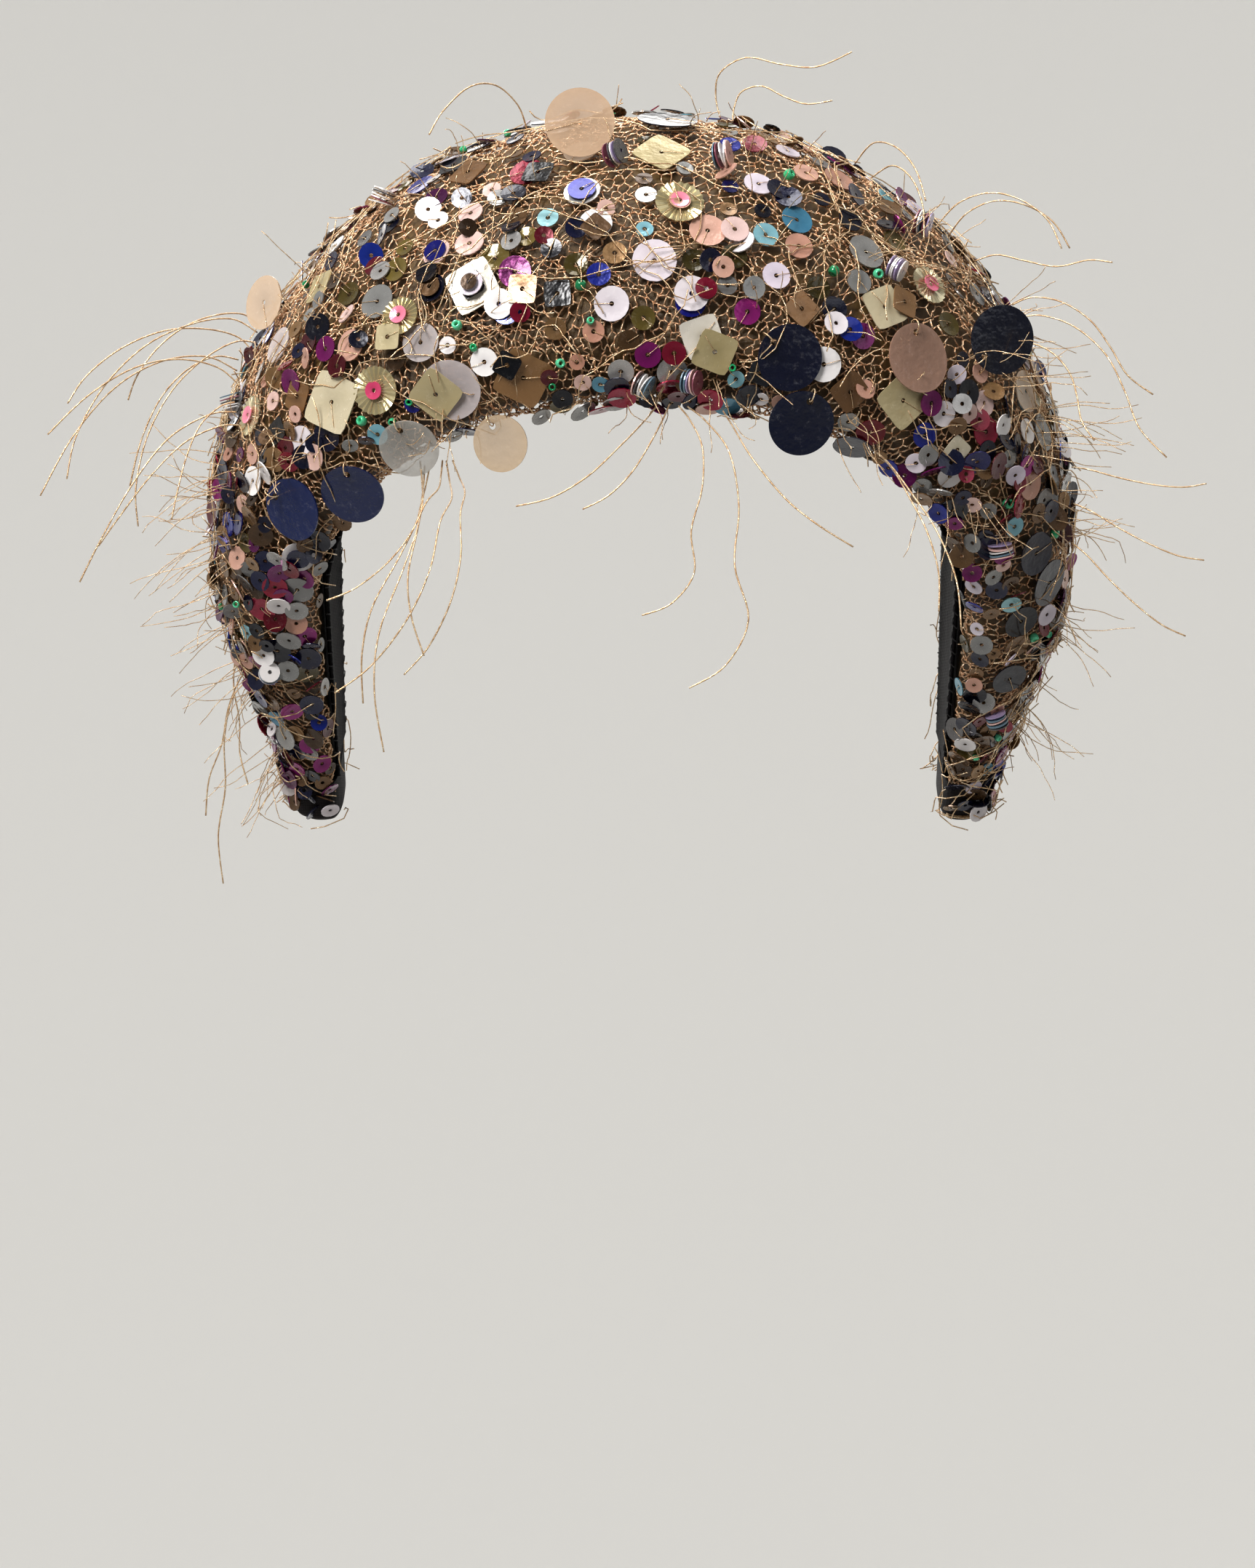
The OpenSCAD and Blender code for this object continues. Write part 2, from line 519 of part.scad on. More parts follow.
module green_beads() {
    color([0.1, 0.62, 0.36]) for (s = bead_spots)
        let (hole = s[2] * bead_hole_share, wall = (s[2] - hole) / 2)
        on_cover(s[0], s[1], sequin_lift + wall / 2)
            rotate_extrude($fn = 24) translate([(hole + wall) / 2, 0]) circle(d = wall, $fn = 24);
}
module sequin_stacks() {
    color([0.8, 0.74, 0.74]) for (s = stack_spots)
        on_cover(s[0], s[1], sequin_lift + s[2] / 2 * sin(stack_tilt) + 0.2, s[3], stack_tilt)
            for (k = [0 : stack_count - 1])
                translate([0, 0, (k - (stack_count - 1) / 2) * stack_pitch + stack_count * stack_pitch / 4])
                    ring_disc(s[2], sequin_t, sequin_hole);
}
// a fifth value of a spot leans the disc, with its lower rim on the layer that it stands on
module still_discs(spots) {
    for (s = spots) {
        tilt = len(s) > 4 ? s[4] : 0;
        on_cover(s[0], s[1], sequin_lift + layer_step * s[3] + s[2] / 2 * sin(tilt), 0, tilt)
            ring_disc(s[2], sequin_t, sequin_hole);
    }
}
module clear_discs() { color([0.85, 0.84, 0.8, 0.6]) still_discs(clear_spots); }
module peach_discs() { color([0.86, 0.72, 0.58, 0.8]) still_discs(peach_spots); }
module dark_discs() { color([0.12, 0.13, 0.18]) still_discs(dark_spots); }

module at_hinge(p) {
    x = hinge_dir(p);
    y = reach_dir(p);
    z = face_dir(p);
    o = stitch_point(p);
    multmatrix([
        [x[0], y[0], z[0], o[0]],
        [x[1], y[1], z[1], o[1]],
        [x[2], y[2], z[2], o[2]]
    ]) children();
}
loop_r = (stitch_rim + stitch_hole) / 2;
module paillette(p) {
    at_hinge(p) difference() {
        translate([0, (p[2] - stitch_rim) / 2, -paillette_t / 2])
            cylinder(d = p[2], h = paillette_t, $fn = 64);
        translate([0, loop_r, -paillette_t]) cylinder(d = stitch_hole, h = 2 * paillette_t, $fn = 32);
    }
}
// each loop runs round the hinge axis, so it stays put while the paillette swings
module paillette_loops() {
    color([0.75, 0.6, 0.42]) for (p = paillettes)
        at_hinge(p) rotate([0, 90, 0]) rotate_extrude($fn = 32)
            translate([loop_r, 0]) circle(d = loop_t, $fn = 24);
}
module paillette_left_outer() { color([0.09, 0.13, 0.28]) paillette(left_outer); }
module paillette_left_inner() { color([0.09, 0.13, 0.28]) paillette(left_inner); }
module paillette_smoke_left() { color([0.7, 0.7, 0.7, 0.7]) paillette(smoke_left); }
module paillette_forehead_left() { color([0.86, 0.74, 0.58, 0.8]) paillette(forehead_left); }
module paillette_forehead_right() { color([0.06, 0.12, 0.25]) paillette(forehead_right); }
module paillette_centre() { color([0.05, 0.07, 0.13]) paillette(centre_navy); }
module paillette_mauve_right() { color([0.5, 0.38, 0.34, 0.8]) paillette(mauve_right); }
module paillette_navy_right() { color([0.05, 0.06, 0.12]) paillette(navy_right); }

// ---- loose threads ----
// Each route is a row of points from the cover outwards, and the thread follows a smooth curve through them.
thread_sides = 8;
thread_steps = 3;                     // stations between two points of a route
top_left_route = [[-27, 0, 34], [-29, -4, 39], [-34, -7, 43], [-40, -10, 42], [-46, -12, 36],
    [-49, -15, 30]];
top_curl_route = [[18, -5, 36], [17, -5, 41], [18, -7, 46], [24, -9, 49],
    [32, -11, 47], [40, -13, 46], [48, -15, 49]];
top_right_route = [[50, 4, 27], [54, 0, 31], [59, -5, 29], [63, -10, 23], [65, -14, 15]];
right_loop_route = [[69, 3, 12], [74, 0, 17], [81, -2, 19], [88, -4, 17], [94, -6, 12], [97, -8, 5]];
right_stray_route = [[78, 4, 4], [83, 1, 5], [89, -3, 3], [96, -7, 1], [103, -10, 2], [108, -13, 1]];
right_long_route = [[88, 10, -9], [94, 9, -8], [102, 7, -11], [109, 4, -18], [113, 1, -27],
    [116, -2, -36], [122, -4, -43]];
right_low_route = [[103, 16, -52], [107, 14, -54], [113, 12, -58], [120, 10, -62], [127, 9, -65],
    [133, 9, -66]];
left_far_route = [[-92, 17, -11], [-98, 15, -8], [-107, 10, -10], [-117, 4, -16], [-126, 0, -26],
    [-132, -3, -38], [-134, -4, -48]];
left_long_route = [[-97, 18, -20], [-104, 15, -17], [-114, 9, -19], [-124, 3, -26],
    [-133, -2, -38], [-140, -5, -52]];
left_low_route = [[-96, 8, -31], [-102, 5, -32], [-111, 1, -38], [-119, -2, -49], [-126, -4, -62],
    [-131, -4, -72]];
left_tip_route = [[-99, 49, -94], [-102, 49, -98], [-104, 50, -108], [-104, 52, -120],
    [-106, 54, -132], [-105, 56, -144]];
forehead_left_route = [[-50, -15, -46], [-50, -20, -51], [-50, -30, -57], [-50, -40, -62],
    [-53, -45, -72], [-58, -48, -86], [-59, -48, -99], [-57, -47, -112]];
forehead_fan_route = [[-45, -16, -45], [-44, -21, -50], [-43, -31, -55], [-45, -41, -61],
    [-47, -46, -72], [-52, -47, -83], [-60, -45, -93], [-68, -45, -99]];
forehead_short_route = [[3, -29, -34], [0, -33, -38], [-5, -41, -44], [-12, -45, -51],
    [-20, -47, -56], [-28, -47, -58]];
forehead_centre_route = [[10, -29, -34], [14, -35, -38], [19, -44, -46], [21, -46, -58],
    [20, -48, -71], [23, -49, -83], [18, -49, -93], [10, -49, -98]];
forehead_right_route = [[18, -29, -35], [20, -34, -39], [24, -43, -47], [31, -46, -56],
    [38, -48, -62], [46, -48, -67]];
inner_right_route = [[53, -19, -43], [56, -26, -47], [60, -34, -54], [65, -41, -63], [69, -44, -74],
    [70, -45, -85]];

// a smooth curve through the points: each stretch is a cubic whose end slopes follow its neighbours
function route_point(r, i, f) = let (
        p0 = r[max(i - 1, 0)], p1 = r[i], p2 = r[i + 1], p3 = r[min(i + 2, len(r) - 1)])
    0.5 * (2 * p1 + (p2 - p0) * f + (2 * p0 - 5 * p1 + 4 * p2 - p3) * f * f
        + (3 * p1 - p0 - 3 * p2 + p3) * f * f * f);
function smooth_route(r) = concat(
    [for (i = [0 : len(r) - 2]) for (k = [0 : thread_steps - 1]) route_point(r, i, k / thread_steps)],
    [r[len(r) - 1]]);
module thread(route) {
    path = smooth_route(route);
    n = len(path);
    rings = [for (i = [0 : n - 1])
        let (
            ahead = unit(path[min(i + 1, n - 1)] - path[max(i - 1, 0)]),
            side = unit(cross(ahead, [0.31, 0.23, 0.92])),
            up = cross(side, ahead)
        )
        [for (k = [0 : thread_sides - 1]) let (a = -360 * k / thread_sides)
            path[i] + thread_d / 2 * (cos(a) * side + sin(a) * up)]];
    color([0.72, 0.58, 0.42]) skin(rings);
}
module thread_top_left() { thread(top_left_route); }
module thread_top_curl() { thread(top_curl_route); }
module thread_top_right() { thread(top_right_route); }
module thread_right_loop() { thread(right_loop_route); }
module thread_right_stray() { thread(right_stray_route); }
module thread_right_long() { thread(right_long_route); }
module thread_right_low() { thread(right_low_route); }
module thread_left_far() { thread(left_far_route); }
module thread_left_long() { thread(left_long_route); }
module thread_left_low() { thread(left_low_route); }
module thread_left_tip() { thread(left_tip_route); }
module thread_forehead_left() { thread(forehead_left_route); }
module thread_forehead_fan() { thread(forehead_fan_route); }
module thread_forehead_short() { thread(forehead_short_route); }
module thread_forehead_centre() { thread(forehead_centre_route); }
module thread_forehead_right() { thread(forehead_right_route); }
module thread_inner_right() { thread(inner_right_route); }

lining_ribbon();
spring_band();
buckram_base();
front_edge_wire();
back_edge_wire();
foam_pad();
wadding_layer();
satin_cover();
net_cover();
tip_binding_left();
tip_binding_right();
white_sequins();
blush_sequins();
royal_blue_sequins();
navy_sequins();
magenta_sequins();
crimson_sequins();
aqua_sequins();
silver_sequins();
bronze_sequins();
fluted_sequins();
gold_squares();
bronze_squares();
black_squares();
olive_cups();
green_beads();
sequin_stacks();
clear_discs();
peach_discs();
dark_discs();
paillette_loops();
paillette_left_outer();
paillette_left_inner();
paillette_smoke_left();
paillette_forehead_left();
paillette_forehead_right();
paillette_centre();
paillette_mauve_right();
paillette_navy_right();
thread_top_left();
thread_top_curl();
thread_top_right();
thread_right_loop();
thread_right_stray();
thread_right_long();
thread_right_low();
thread_left_far();
thread_left_long();
thread_left_low();
thread_left_tip();
thread_forehead_left();
thread_forehead_fan();
thread_forehead_short();
thread_forehead_centre();
thread_forehead_right();
thread_inner_right();
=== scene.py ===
import json
import math
import bpy
import numpy as np
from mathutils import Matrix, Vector


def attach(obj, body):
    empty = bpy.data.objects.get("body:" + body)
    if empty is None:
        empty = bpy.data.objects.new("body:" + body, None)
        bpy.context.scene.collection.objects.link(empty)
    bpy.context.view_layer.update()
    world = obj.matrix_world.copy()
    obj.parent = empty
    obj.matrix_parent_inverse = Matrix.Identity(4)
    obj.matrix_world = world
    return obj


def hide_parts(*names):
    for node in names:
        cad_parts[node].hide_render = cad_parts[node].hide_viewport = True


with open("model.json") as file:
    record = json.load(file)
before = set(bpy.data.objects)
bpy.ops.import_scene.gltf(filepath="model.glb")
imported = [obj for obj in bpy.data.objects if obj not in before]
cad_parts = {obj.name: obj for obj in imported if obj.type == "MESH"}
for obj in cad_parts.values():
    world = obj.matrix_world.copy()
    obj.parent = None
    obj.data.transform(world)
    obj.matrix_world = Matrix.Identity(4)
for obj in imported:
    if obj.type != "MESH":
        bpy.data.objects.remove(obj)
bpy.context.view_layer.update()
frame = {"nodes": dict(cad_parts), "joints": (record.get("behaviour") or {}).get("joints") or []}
rng = np.random.default_rng(417)
print("frame loaded:", len(frame["nodes"]), "nodes")

# ---- camera and studio ----
shot = {"place": (-0.0035, -0.765, -0.119), "lens": 75.05, "sensor": 36.0}
camera = bpy.data.objects.new("camera", bpy.data.cameras.new("camera"))
camera.location = shot["place"]
camera.rotation_euler = (math.radians(90), 0, 0)
camera.data.lens = shot["lens"]
camera.data.sensor_width = shot["sensor"]
camera.data.clip_start = 0.01
bpy.context.scene.collection.objects.link(camera)
bpy.context.scene.camera = camera


def areaLight(name, place, aim, size, power, colour):
    lamp = bpy.data.lights.new(name, "AREA")
    lamp.shape, lamp.size, lamp.size_y, lamp.energy = "RECTANGLE", size[0], size[1], power
    lamp.color = colour
    holder = bpy.data.objects.new(name, lamp)
    toward = np.array(aim, float) - np.array(place, float)
    holder.location = place
    holder.rotation_euler = Vector(toward).to_track_quat("-Z", "Y").to_euler()
    bpy.context.scene.collection.objects.link(holder)


light = {
    "window": ((-0.6, -1.0, 0.7), (0, 0, -0.03), (0.4, 0.6), 25.0, (1.0, 0.985, 0.97)),
    "softFill": ((0.95, -1.1, 0.3), (0, 0, -0.05), (0.8, 0.8), 2.0, (0.95, 0.97, 1.0)),
    "topLight": ((-0.1, -0.15, 1.1), (0, 0, 0), (0.6, 0.6), 9.0, (1.0, 0.99, 0.98)),
    "rimLight": ((-0.35, 1.1, 0.5), (0, 0, -0.03), (0.9, 0.7), 6.0, (1.0, 0.98, 0.95)),
    "world": (0.82, 0.81, 0.79),
    "worldStrength": 0.34,
}
bpy.context.scene.view_settings.view_transform = "Standard"
for lampName in ("window", "softFill", "topLight", "rimLight"):
    areaLight(lampName, *light[lampName])
world = bpy.data.worlds.new("studio")
world.use_nodes = True
world.node_tree.nodes["Background"].inputs["Color"].default_value = (*light["world"], 1)
world.node_tree.nodes["Background"].inputs["Strength"].default_value = light["worldStrength"]
bpy.context.scene.world = world
print("camera and lights set")

# ---- mesh making ----


def makePiece(name, points, faceArrays, material=None, smooth=True, values=None):
    # faceArrays is a list of (count, sides) arrays of vertex numbers
    points = np.ascontiguousarray(points, np.float32).reshape(-1, 3)
    mesh = bpy.data.meshes.new(name)
    sides = np.concatenate([np.full(len(f), f.shape[1]) for f in faceArrays])
    corners = np.concatenate([f.ravel() for f in faceArrays]).astype(np.int32)
    mesh.vertices.add(len(points))
    mesh.vertices.foreach_set("co", points.ravel())
    mesh.loops.add(len(corners))
    mesh.loops.foreach_set("vertex_index", corners)
    mesh.polygons.add(len(sides))
    starts = np.concatenate([[0], np.cumsum(sides)[:-1]]).astype(np.int32)
    mesh.polygons.foreach_set("loop_start", starts)
    mesh.update(calc_edges=True)
    mesh.polygons.foreach_set("use_smooth", np.full(len(sides), smooth))
    for key, array in (values or {}).items():
        layer = mesh.attributes.new(key, "FLOAT", "POINT")
        layer.data.foreach_set("value", np.ascontiguousarray(array, np.float32).ravel())
    piece = bpy.data.objects.new(name, mesh)
    bpy.context.scene.collection.objects.link(piece)
    if material is not None:
        mesh.materials.append(material)
    return piece


def sewOn(piece, slotName, *nodes, body="band"):
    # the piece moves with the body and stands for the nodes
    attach(piece, body)
    if nodes:
        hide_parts(*nodes)


def unit(v):
    return v / np.maximum(np.linalg.norm(v, axis=-1, keepdims=True), 1e-12)


def tubes(paths, radius, sides, reference):
    # each path is swept by a ring: point = path + radius * (cos(turn) * A + sin(turn) * B),
    # where A is the reference direction squared to the path and B = tangent x A
    count, steps = paths.shape[:2]
    tangent = unit(np.gradient(paths, axis=1))
    reference = np.broadcast_to(reference, paths.shape)
    a = unit(reference - (reference * tangent).sum(-1, keepdims=True) * tangent)
    b = np.cross(tangent, a)
    turn = np.arange(sides) * 2 * np.pi / sides
    radius = np.broadcast_to(radius, (count, steps))[:, :, None, None]
    ring = np.cos(turn)[:, None] * a[:, :, None] + np.sin(turn)[:, None] * b[:, :, None]
    points = paths[:, :, None] + radius * ring
    number = np.arange(count * steps * sides).reshape(count, steps, sides)
    nextSide = np.roll(number, -1, axis=2)
    walls = np.stack([number[:, :-1], nextSide[:, :-1], nextSide[:, 1:], number[:, 1:]], -1)
    caps = np.concatenate([number[:, 0, ::-1], number[:, -1]])
    return points.reshape(-1, 3), [walls.reshape(-1, 4), caps]


def discs(centre, normal, axis, radii, heights, outline):
    # a closed profile of radii and heights is turned about each normal; outline bends the rim
    # from a circle: point = centre + radius * outline(turn) * (cos u + sin v) + height * normal
    count, steps = radii.shape
    segments = outline.shape[-1]
    v = np.cross(normal, axis)
    turn = np.arange(segments) * 2 * np.pi / segments
    flat = (np.cos(turn)[None, :, None] * axis[:, None] + np.sin(turn)[None, :, None] * v[:, None])
    reach = radii[:, :, None] * np.broadcast_to(outline, (count, steps, segments))
    lift = np.broadcast_to(heights, (count, steps, segments)) if heights.ndim == 3 else (
        np.broadcast_to(heights[:, :, None], (count, steps, segments)))
    points = (centre[:, None, None] + reach[..., None] * flat[:, None]
              + lift[..., None] * normal[:, None, None])
    number = np.arange(count * steps * segments).reshape(count, steps, segments)
    nextTurn, nextStep = np.roll(number, -1, axis=2), np.roll(number, -1, axis=1)
    nextBoth = np.roll(nextStep, -1, axis=2)
    faces = np.stack([number, nextTurn, nextBoth, nextStep], -1).reshape(-1, 4)
    return points.reshape(-1, 3), faces


# ---- the band's shape ----
band = {
    "archHalf": 0.0775, "archRise": 0.073, "legLen": 0.078, "tipHalf": 0.077,
    "lean": 35.0, "roll": 17.0, "crownWidth": 0.084, "tipWidth": 0.020,
    "crownHeight": 0.030, "sideHeight": 0.027, "tipHeight": 0.013, "headRadius": 0.110,
    "widthPower": 1.7, "edgePower": 0.8, "bellyShare": 0.35, "bellyLeast": 0.0048,
    "shoulder": 0.6,
}
arcLen = math.pi / 2 * math.sqrt((band["archHalf"] ** 2 + band["archRise"] ** 2) / 2)
halfLen = arcLen + band["legLen"]
leanAngle = math.radians(band["lean"])
sideways = np.array([1.0, 0, 0])
upward = np.array([0, -math.sin(leanAngle), math.cos(leanAngle)])
forward = np.array([0, -math.cos(leanAngle), -math.sin(leanAngle)])


def spine(t):
    # a quarter ellipse on each side of the crown, then legs that close in by a parabola
    side, d = np.where(t < 0, -1.0, 1.0), np.abs(t)
    angle = np.pi / 2 * np.minimum(d / arcLen, 1)
    leg = np.maximum(d - arcLen, 0)
    closing = (band["archHalf"] - band["tipHalf"]) / band["legLen"] ** 2
    onArch = d <= arcLen
    x = np.where(onArch, band["archHalf"] * np.sin(angle), band["archHalf"] - closing * leg ** 2)
    rise = np.where(onArch, band["archRise"] * np.cos(angle), -leg)
    goX = np.where(onArch, band["archHalf"] * np.cos(angle), -2 * closing * leg)
    goUp = np.where(onArch, -band["archRise"] * np.sin(angle), -1.0)
    size = np.hypot(goX, goUp)
    outward = (side * -goUp / size)[..., None] * sideways + (goX / size)[..., None] * upward
    roll = (math.radians(band["roll"]) * np.cos(angle))[..., None]
    front = forward * np.cos(roll) - outward * np.sin(roll)
    normal = outward * np.cos(roll) + forward * np.sin(roll)
    centre = (side * x)[..., None] * sideways + (rise - band["archRise"])[..., None] * upward
    return centre, front, normal


def ease(x):
    return (1 + np.cos(np.pi * np.clip(x, 0, 1))) / 2


def widthAt(t):
    share = np.minimum(np.abs(t) / halfLen, 1)
    return band["tipWidth"] + (band["crownWidth"] - band["tipWidth"]) * (1 - share ** band["widthPower"])


def heightAt(t):
    share = np.abs(t) / halfLen
    s = band["shoulder"]
    upper = band["sideHeight"] + (band["crownHeight"] - band["sideHeight"]) * ease(share / s)
    lower = band["tipHeight"] + (band["sideHeight"] - band["tipHeight"]) * ease((share - s) / (1 - s))
    return np.where(share < s, upper, lower)


def sectionPoint(t, s, n):
    # s runs to the front and n away from the head, bent to the head's curve from front to back
    centre, front, normal = spine(t)
    n = n - s ** 2 / (2 * band["headRadius"])
    return centre + s[..., None] * front + n[..., None] * normal


def layerPoint(t, across, inset=0.0, floor=0.0):
    # a superellipse section: across 0 is the front edge, 90 the top and 180 the back edge
    t, across, inset = np.broadcast_arrays(t, across, inset)
    turn = np.radians(across)
    c, s = np.cos(turn), np.sin(turn)
    c = np.sign(c) * np.abs(c) ** band["edgePower"]
    s = np.sign(s) * np.abs(s) ** band["edgePower"]
    belly = np.maximum(band["bellyShare"] * heightAt(t), band["bellyLeast"])
    over = belly + (heightAt(t) - inset - belly) * s
    under = belly + (belly - floor) * s
    return sectionPoint(t, (widthAt(t) / 2 - inset) * c, np.where(s >= 0, over, under))


def coverFrame(t, across):
    # point and outward normal: the normal is the cross product of the two small steps
    stepT, stepA = 0.0004, 0.7
    point = layerPoint(t, across)
    along = layerPoint(t + stepT, across) - layerPoint(t - stepT, across)
    around = layerPoint(t, across + stepA) - layerPoint(t, across - stepA)
    return point, unit(np.cross(along, around)), unit(along), unit(around)


# distance across the cover, as a table of angles for equal steps of cloth
table = {"along": 241, "around": 181, "shares": 161, "end": 0.0005, "from": -45, "to": 225}
tableT = np.linspace(-halfLen + table["end"], halfLen - table["end"], table["along"])
tableA = np.linspace(table["from"], table["to"], table["around"])
tableGrid = layerPoint(tableT[:, None], tableA[None])
tableArc = np.concatenate([np.zeros((table["along"], 1)), np.cumsum(
    np.linalg.norm(np.diff(tableGrid, axis=1), axis=-1), axis=1)], 1)
frontLen = tableArc[:, table["around"] // 2]     # the top, at 90 degrees, is the middle column
backLen = tableArc[:, -1] - frontLen
shareSteps = np.linspace(0, 1, table["shares"])
angleTable = np.array([np.interp(shareSteps * row[-1], row, tableA) for row in tableArc])


def acrossAt(t, v):
    # v is the distance in metres from the top line, less than 0 towards the front
    justInside = 1.001                           # keeps the last place inside the last cell
    i = np.clip((t - tableT[0]) / (tableT[1] - tableT[0]), 0, table["along"] - justInside)
    low = i.astype(int)
    f = i - low
    front = frontLen[low] * (1 - f) + frontLen[low + 1] * f
    back = backLen[low] * (1 - f) + backLen[low + 1] * f
    share = np.clip((v + front) / (front + back), 0, 1) * (table["shares"] - justInside)
    col = share.astype(int)
    g = share - col
    near = angleTable[low, col] * (1 - g) + angleTable[low, col + 1] * g
    far = angleTable[low + 1, col] * (1 - g) + angleTable[low + 1, col + 1] * g
    return near * (1 - f) + far * f, (v > -front) & (v < back)


print("band shape worked out, half length", round(halfLen, 4))

# ---- shader maths ----


class Value:
    def __init__(self, graph, socket):
        self.graph, self.socket = graph, socket

    def combine(self, kind, other, swap=False):
        ends = (other, self) if swap else (self, other)
        return self.graph.add("Math", {"operation": kind}, {0: ends[0], 1: ends[1]})

    def __add__(self, other):
        return self.combine("ADD", other)

    __radd__ = __add__

    def __mul__(self, other):
        return self.combine("MULTIPLY", other)

    __rmul__ = __mul__

    def __sub__(self, other):
        return self.combine("SUBTRACT", other)

    def __rsub__(self, other):
        return self.combine("SUBTRACT", other, True)

    def __truediv__(self, other):
        return self.combine("DIVIDE", other)

    def __pow__(self, other):
        return self.combine("POWER", other)


class Finish:
    def __init__(self, name):
        self.material = bpy.data.materials.new(name)
        self.material.use_nodes = True
        self.tree = self.material.node_tree
        self.tree.nodes.clear()
        self.end = self.tree.nodes.new("ShaderNodeOutputMaterial")
        self.coords = self.add("TexCoord", {}, {}, "Object")

    def add(self, kind, settings, inputs, output=0):
        node = self.tree.nodes.new("ShaderNode" + kind)
        for key, value in settings.items():
            if key == "stops":
                while len(node.color_ramp.elements) < len(value):
                    node.color_ramp.elements.new(0.5)
                for element, (place, colour) in zip(node.color_ramp.elements, value):
                    element.position, element.color = place, (*colour[:3], 1)
            else:
                setattr(node, key, value)
        for key, value in inputs.items():
            if isinstance(value, Value):
                self.tree.links.new(value.socket, node.inputs[key])
            else:
                target = node.inputs[key]
                isColour = target.type == "RGBA" and len(value) == 3
                target.default_value = (*value, 1) if isColour else value
        return Value(self, node.outputs[output])

    def noise(self, scale, detail=3.0, roughness=0.55, vector=None):
        return self.add("TexNoise", {}, {"Vector": vector or self.coords, "Scale": scale,
                                         "Detail": detail, "Roughness": roughness}, "Fac")

    def ramp(self, factor, stops):
        return self.add("ValToRGB", {"stops": stops}, {"Fac": factor}, "Color")

    def mix(self, factor, first, second, blend="MIX"):
        return self.add("Mix", {"data_type": "RGBA", "blend_type": blend},
                        {0: factor, 6: first, 7: second}, 2)

    def attribute(self, key):
        return self.add("Attribute", {"attribute_name": key}, {}, "Fac")

    def bump(self, height, distance, strength=1.0):
        return self.add("Bump", {}, {"Height": height, "Distance": distance,
                                     "Strength": strength}, "Normal")

    def shade(self, **inputs):
        names = {key: key.replace("_", " ") for key in inputs}
        inputs = {names[key]: value for key, value in inputs.items()}
        shader = self.add("BsdfPrincipled", {}, inputs, "BSDF")
        self.tree.links.new(shader.socket, self.end.inputs["Surface"])
        return self.material


def rgb(*parts):
    # screen colour to linear light
    c = np.array(parts, float) / 255
    return tuple(np.where(c <= 0.04045, c / 12.92, ((c + 0.055) / 1.055) ** 2.4))


def metallicYarn(name, dark, middle, pale, rough):
    f = Finish(name)
    tone = f.noise(900.0, 2.0)
    glint = f.noise(3400.0, 1.0)
    colour = f.ramp(tone * 0.6 + glint * 0.4, [(0.34, dark), (0.5, middle), (0.66, pale)])
    return f.shade(Base_Color=colour, Metallic=0.62, Roughness=rough + 0.3 * (1 - glint),
                   Normal=f.bump(f.noise(5200.0, 1.0), 0.00012), IOR=1.5)


def fabric(name, dark, pale, rough, threadScale, sheen=0.3, gloss=0.5, wrinkle=0.0004):
    f = Finish(name)
    weft = f.add("TexWave", {"wave_type": "BANDS", "bands_direction": "X"},
                 {"Vector": f.coords, "Scale": threadScale, "Distortion": 1.2, "Detail": 1.0}, "Fac")
    warp = f.add("TexWave", {"wave_type": "BANDS", "bands_direction": "Z"},
                 {"Vector": f.coords, "Scale": threadScale, "Distortion": 1.2, "Detail": 1.0}, "Fac")
    fold = f.noise(90.0, 4.0)
    # the cloth is darker where the fold noise is low, in the hollows of the wrinkles that the same noise
    # bumps: painted shade in the creases, over the weave's own pattern
    colour = f.ramp(fold * 0.7 + weft * warp * 0.3, [(0.25, dark), (0.72, pale)])
    height = weft * 0.5 + warp * 0.5 + fold * (wrinkle / 0.00006)
    return f.shade(Base_Color=colour, Roughness=rough + 0.12 * fold, Sheen_Weight=sheen,
                   Sheen_Roughness=0.4, Specular_IOR_Level=gloss, Normal=f.bump(height, 0.00006))


def sequinFinish(name, tones, metallic, rough, alpha=1.0, grain=0.00002, wear=0.05):
    f = Finish(name)
    tint, radial = f.attribute("tint"), f.attribute("radial")
    stops = [(0.08 + 0.84 * i / max(len(tones) - 1, 1), c) for i, c in enumerate(tones)]
    cloud = f.noise(260.0, 3.0)
    colour = f.ramp(tint * 0.85 + cloud * 0.15, stops)
    # the face darkens towards the hole, and is lightly scuffed by wear
    scuff = f.ramp(f.noise(520.0, 5.0, 0.7), [(0.56, (0, 0, 0)), (0.74, (1, 1, 1))])
    colour = f.mix(wear * scuff, colour, (0.7, 0.68, 0.66))
    colour = f.mix(0.35 * (1 - radial) ** 2, colour, tuple(0.35 * np.array(tones[0])))
    shader = {"Base_Color": colour, "Metallic": metallic, "Roughness": rough + 0.12 * scuff,
              "Coat_Weight": 0.25, "Coat_Roughness": 0.06,
              "Normal": f.bump(f.noise(420.0, 2.0), grain * 8)}
    if alpha < 1:
        shader["Alpha"] = alpha + 0.16 * radial ** 6 + 0.1 * scuff
    return f.shade(**shader)


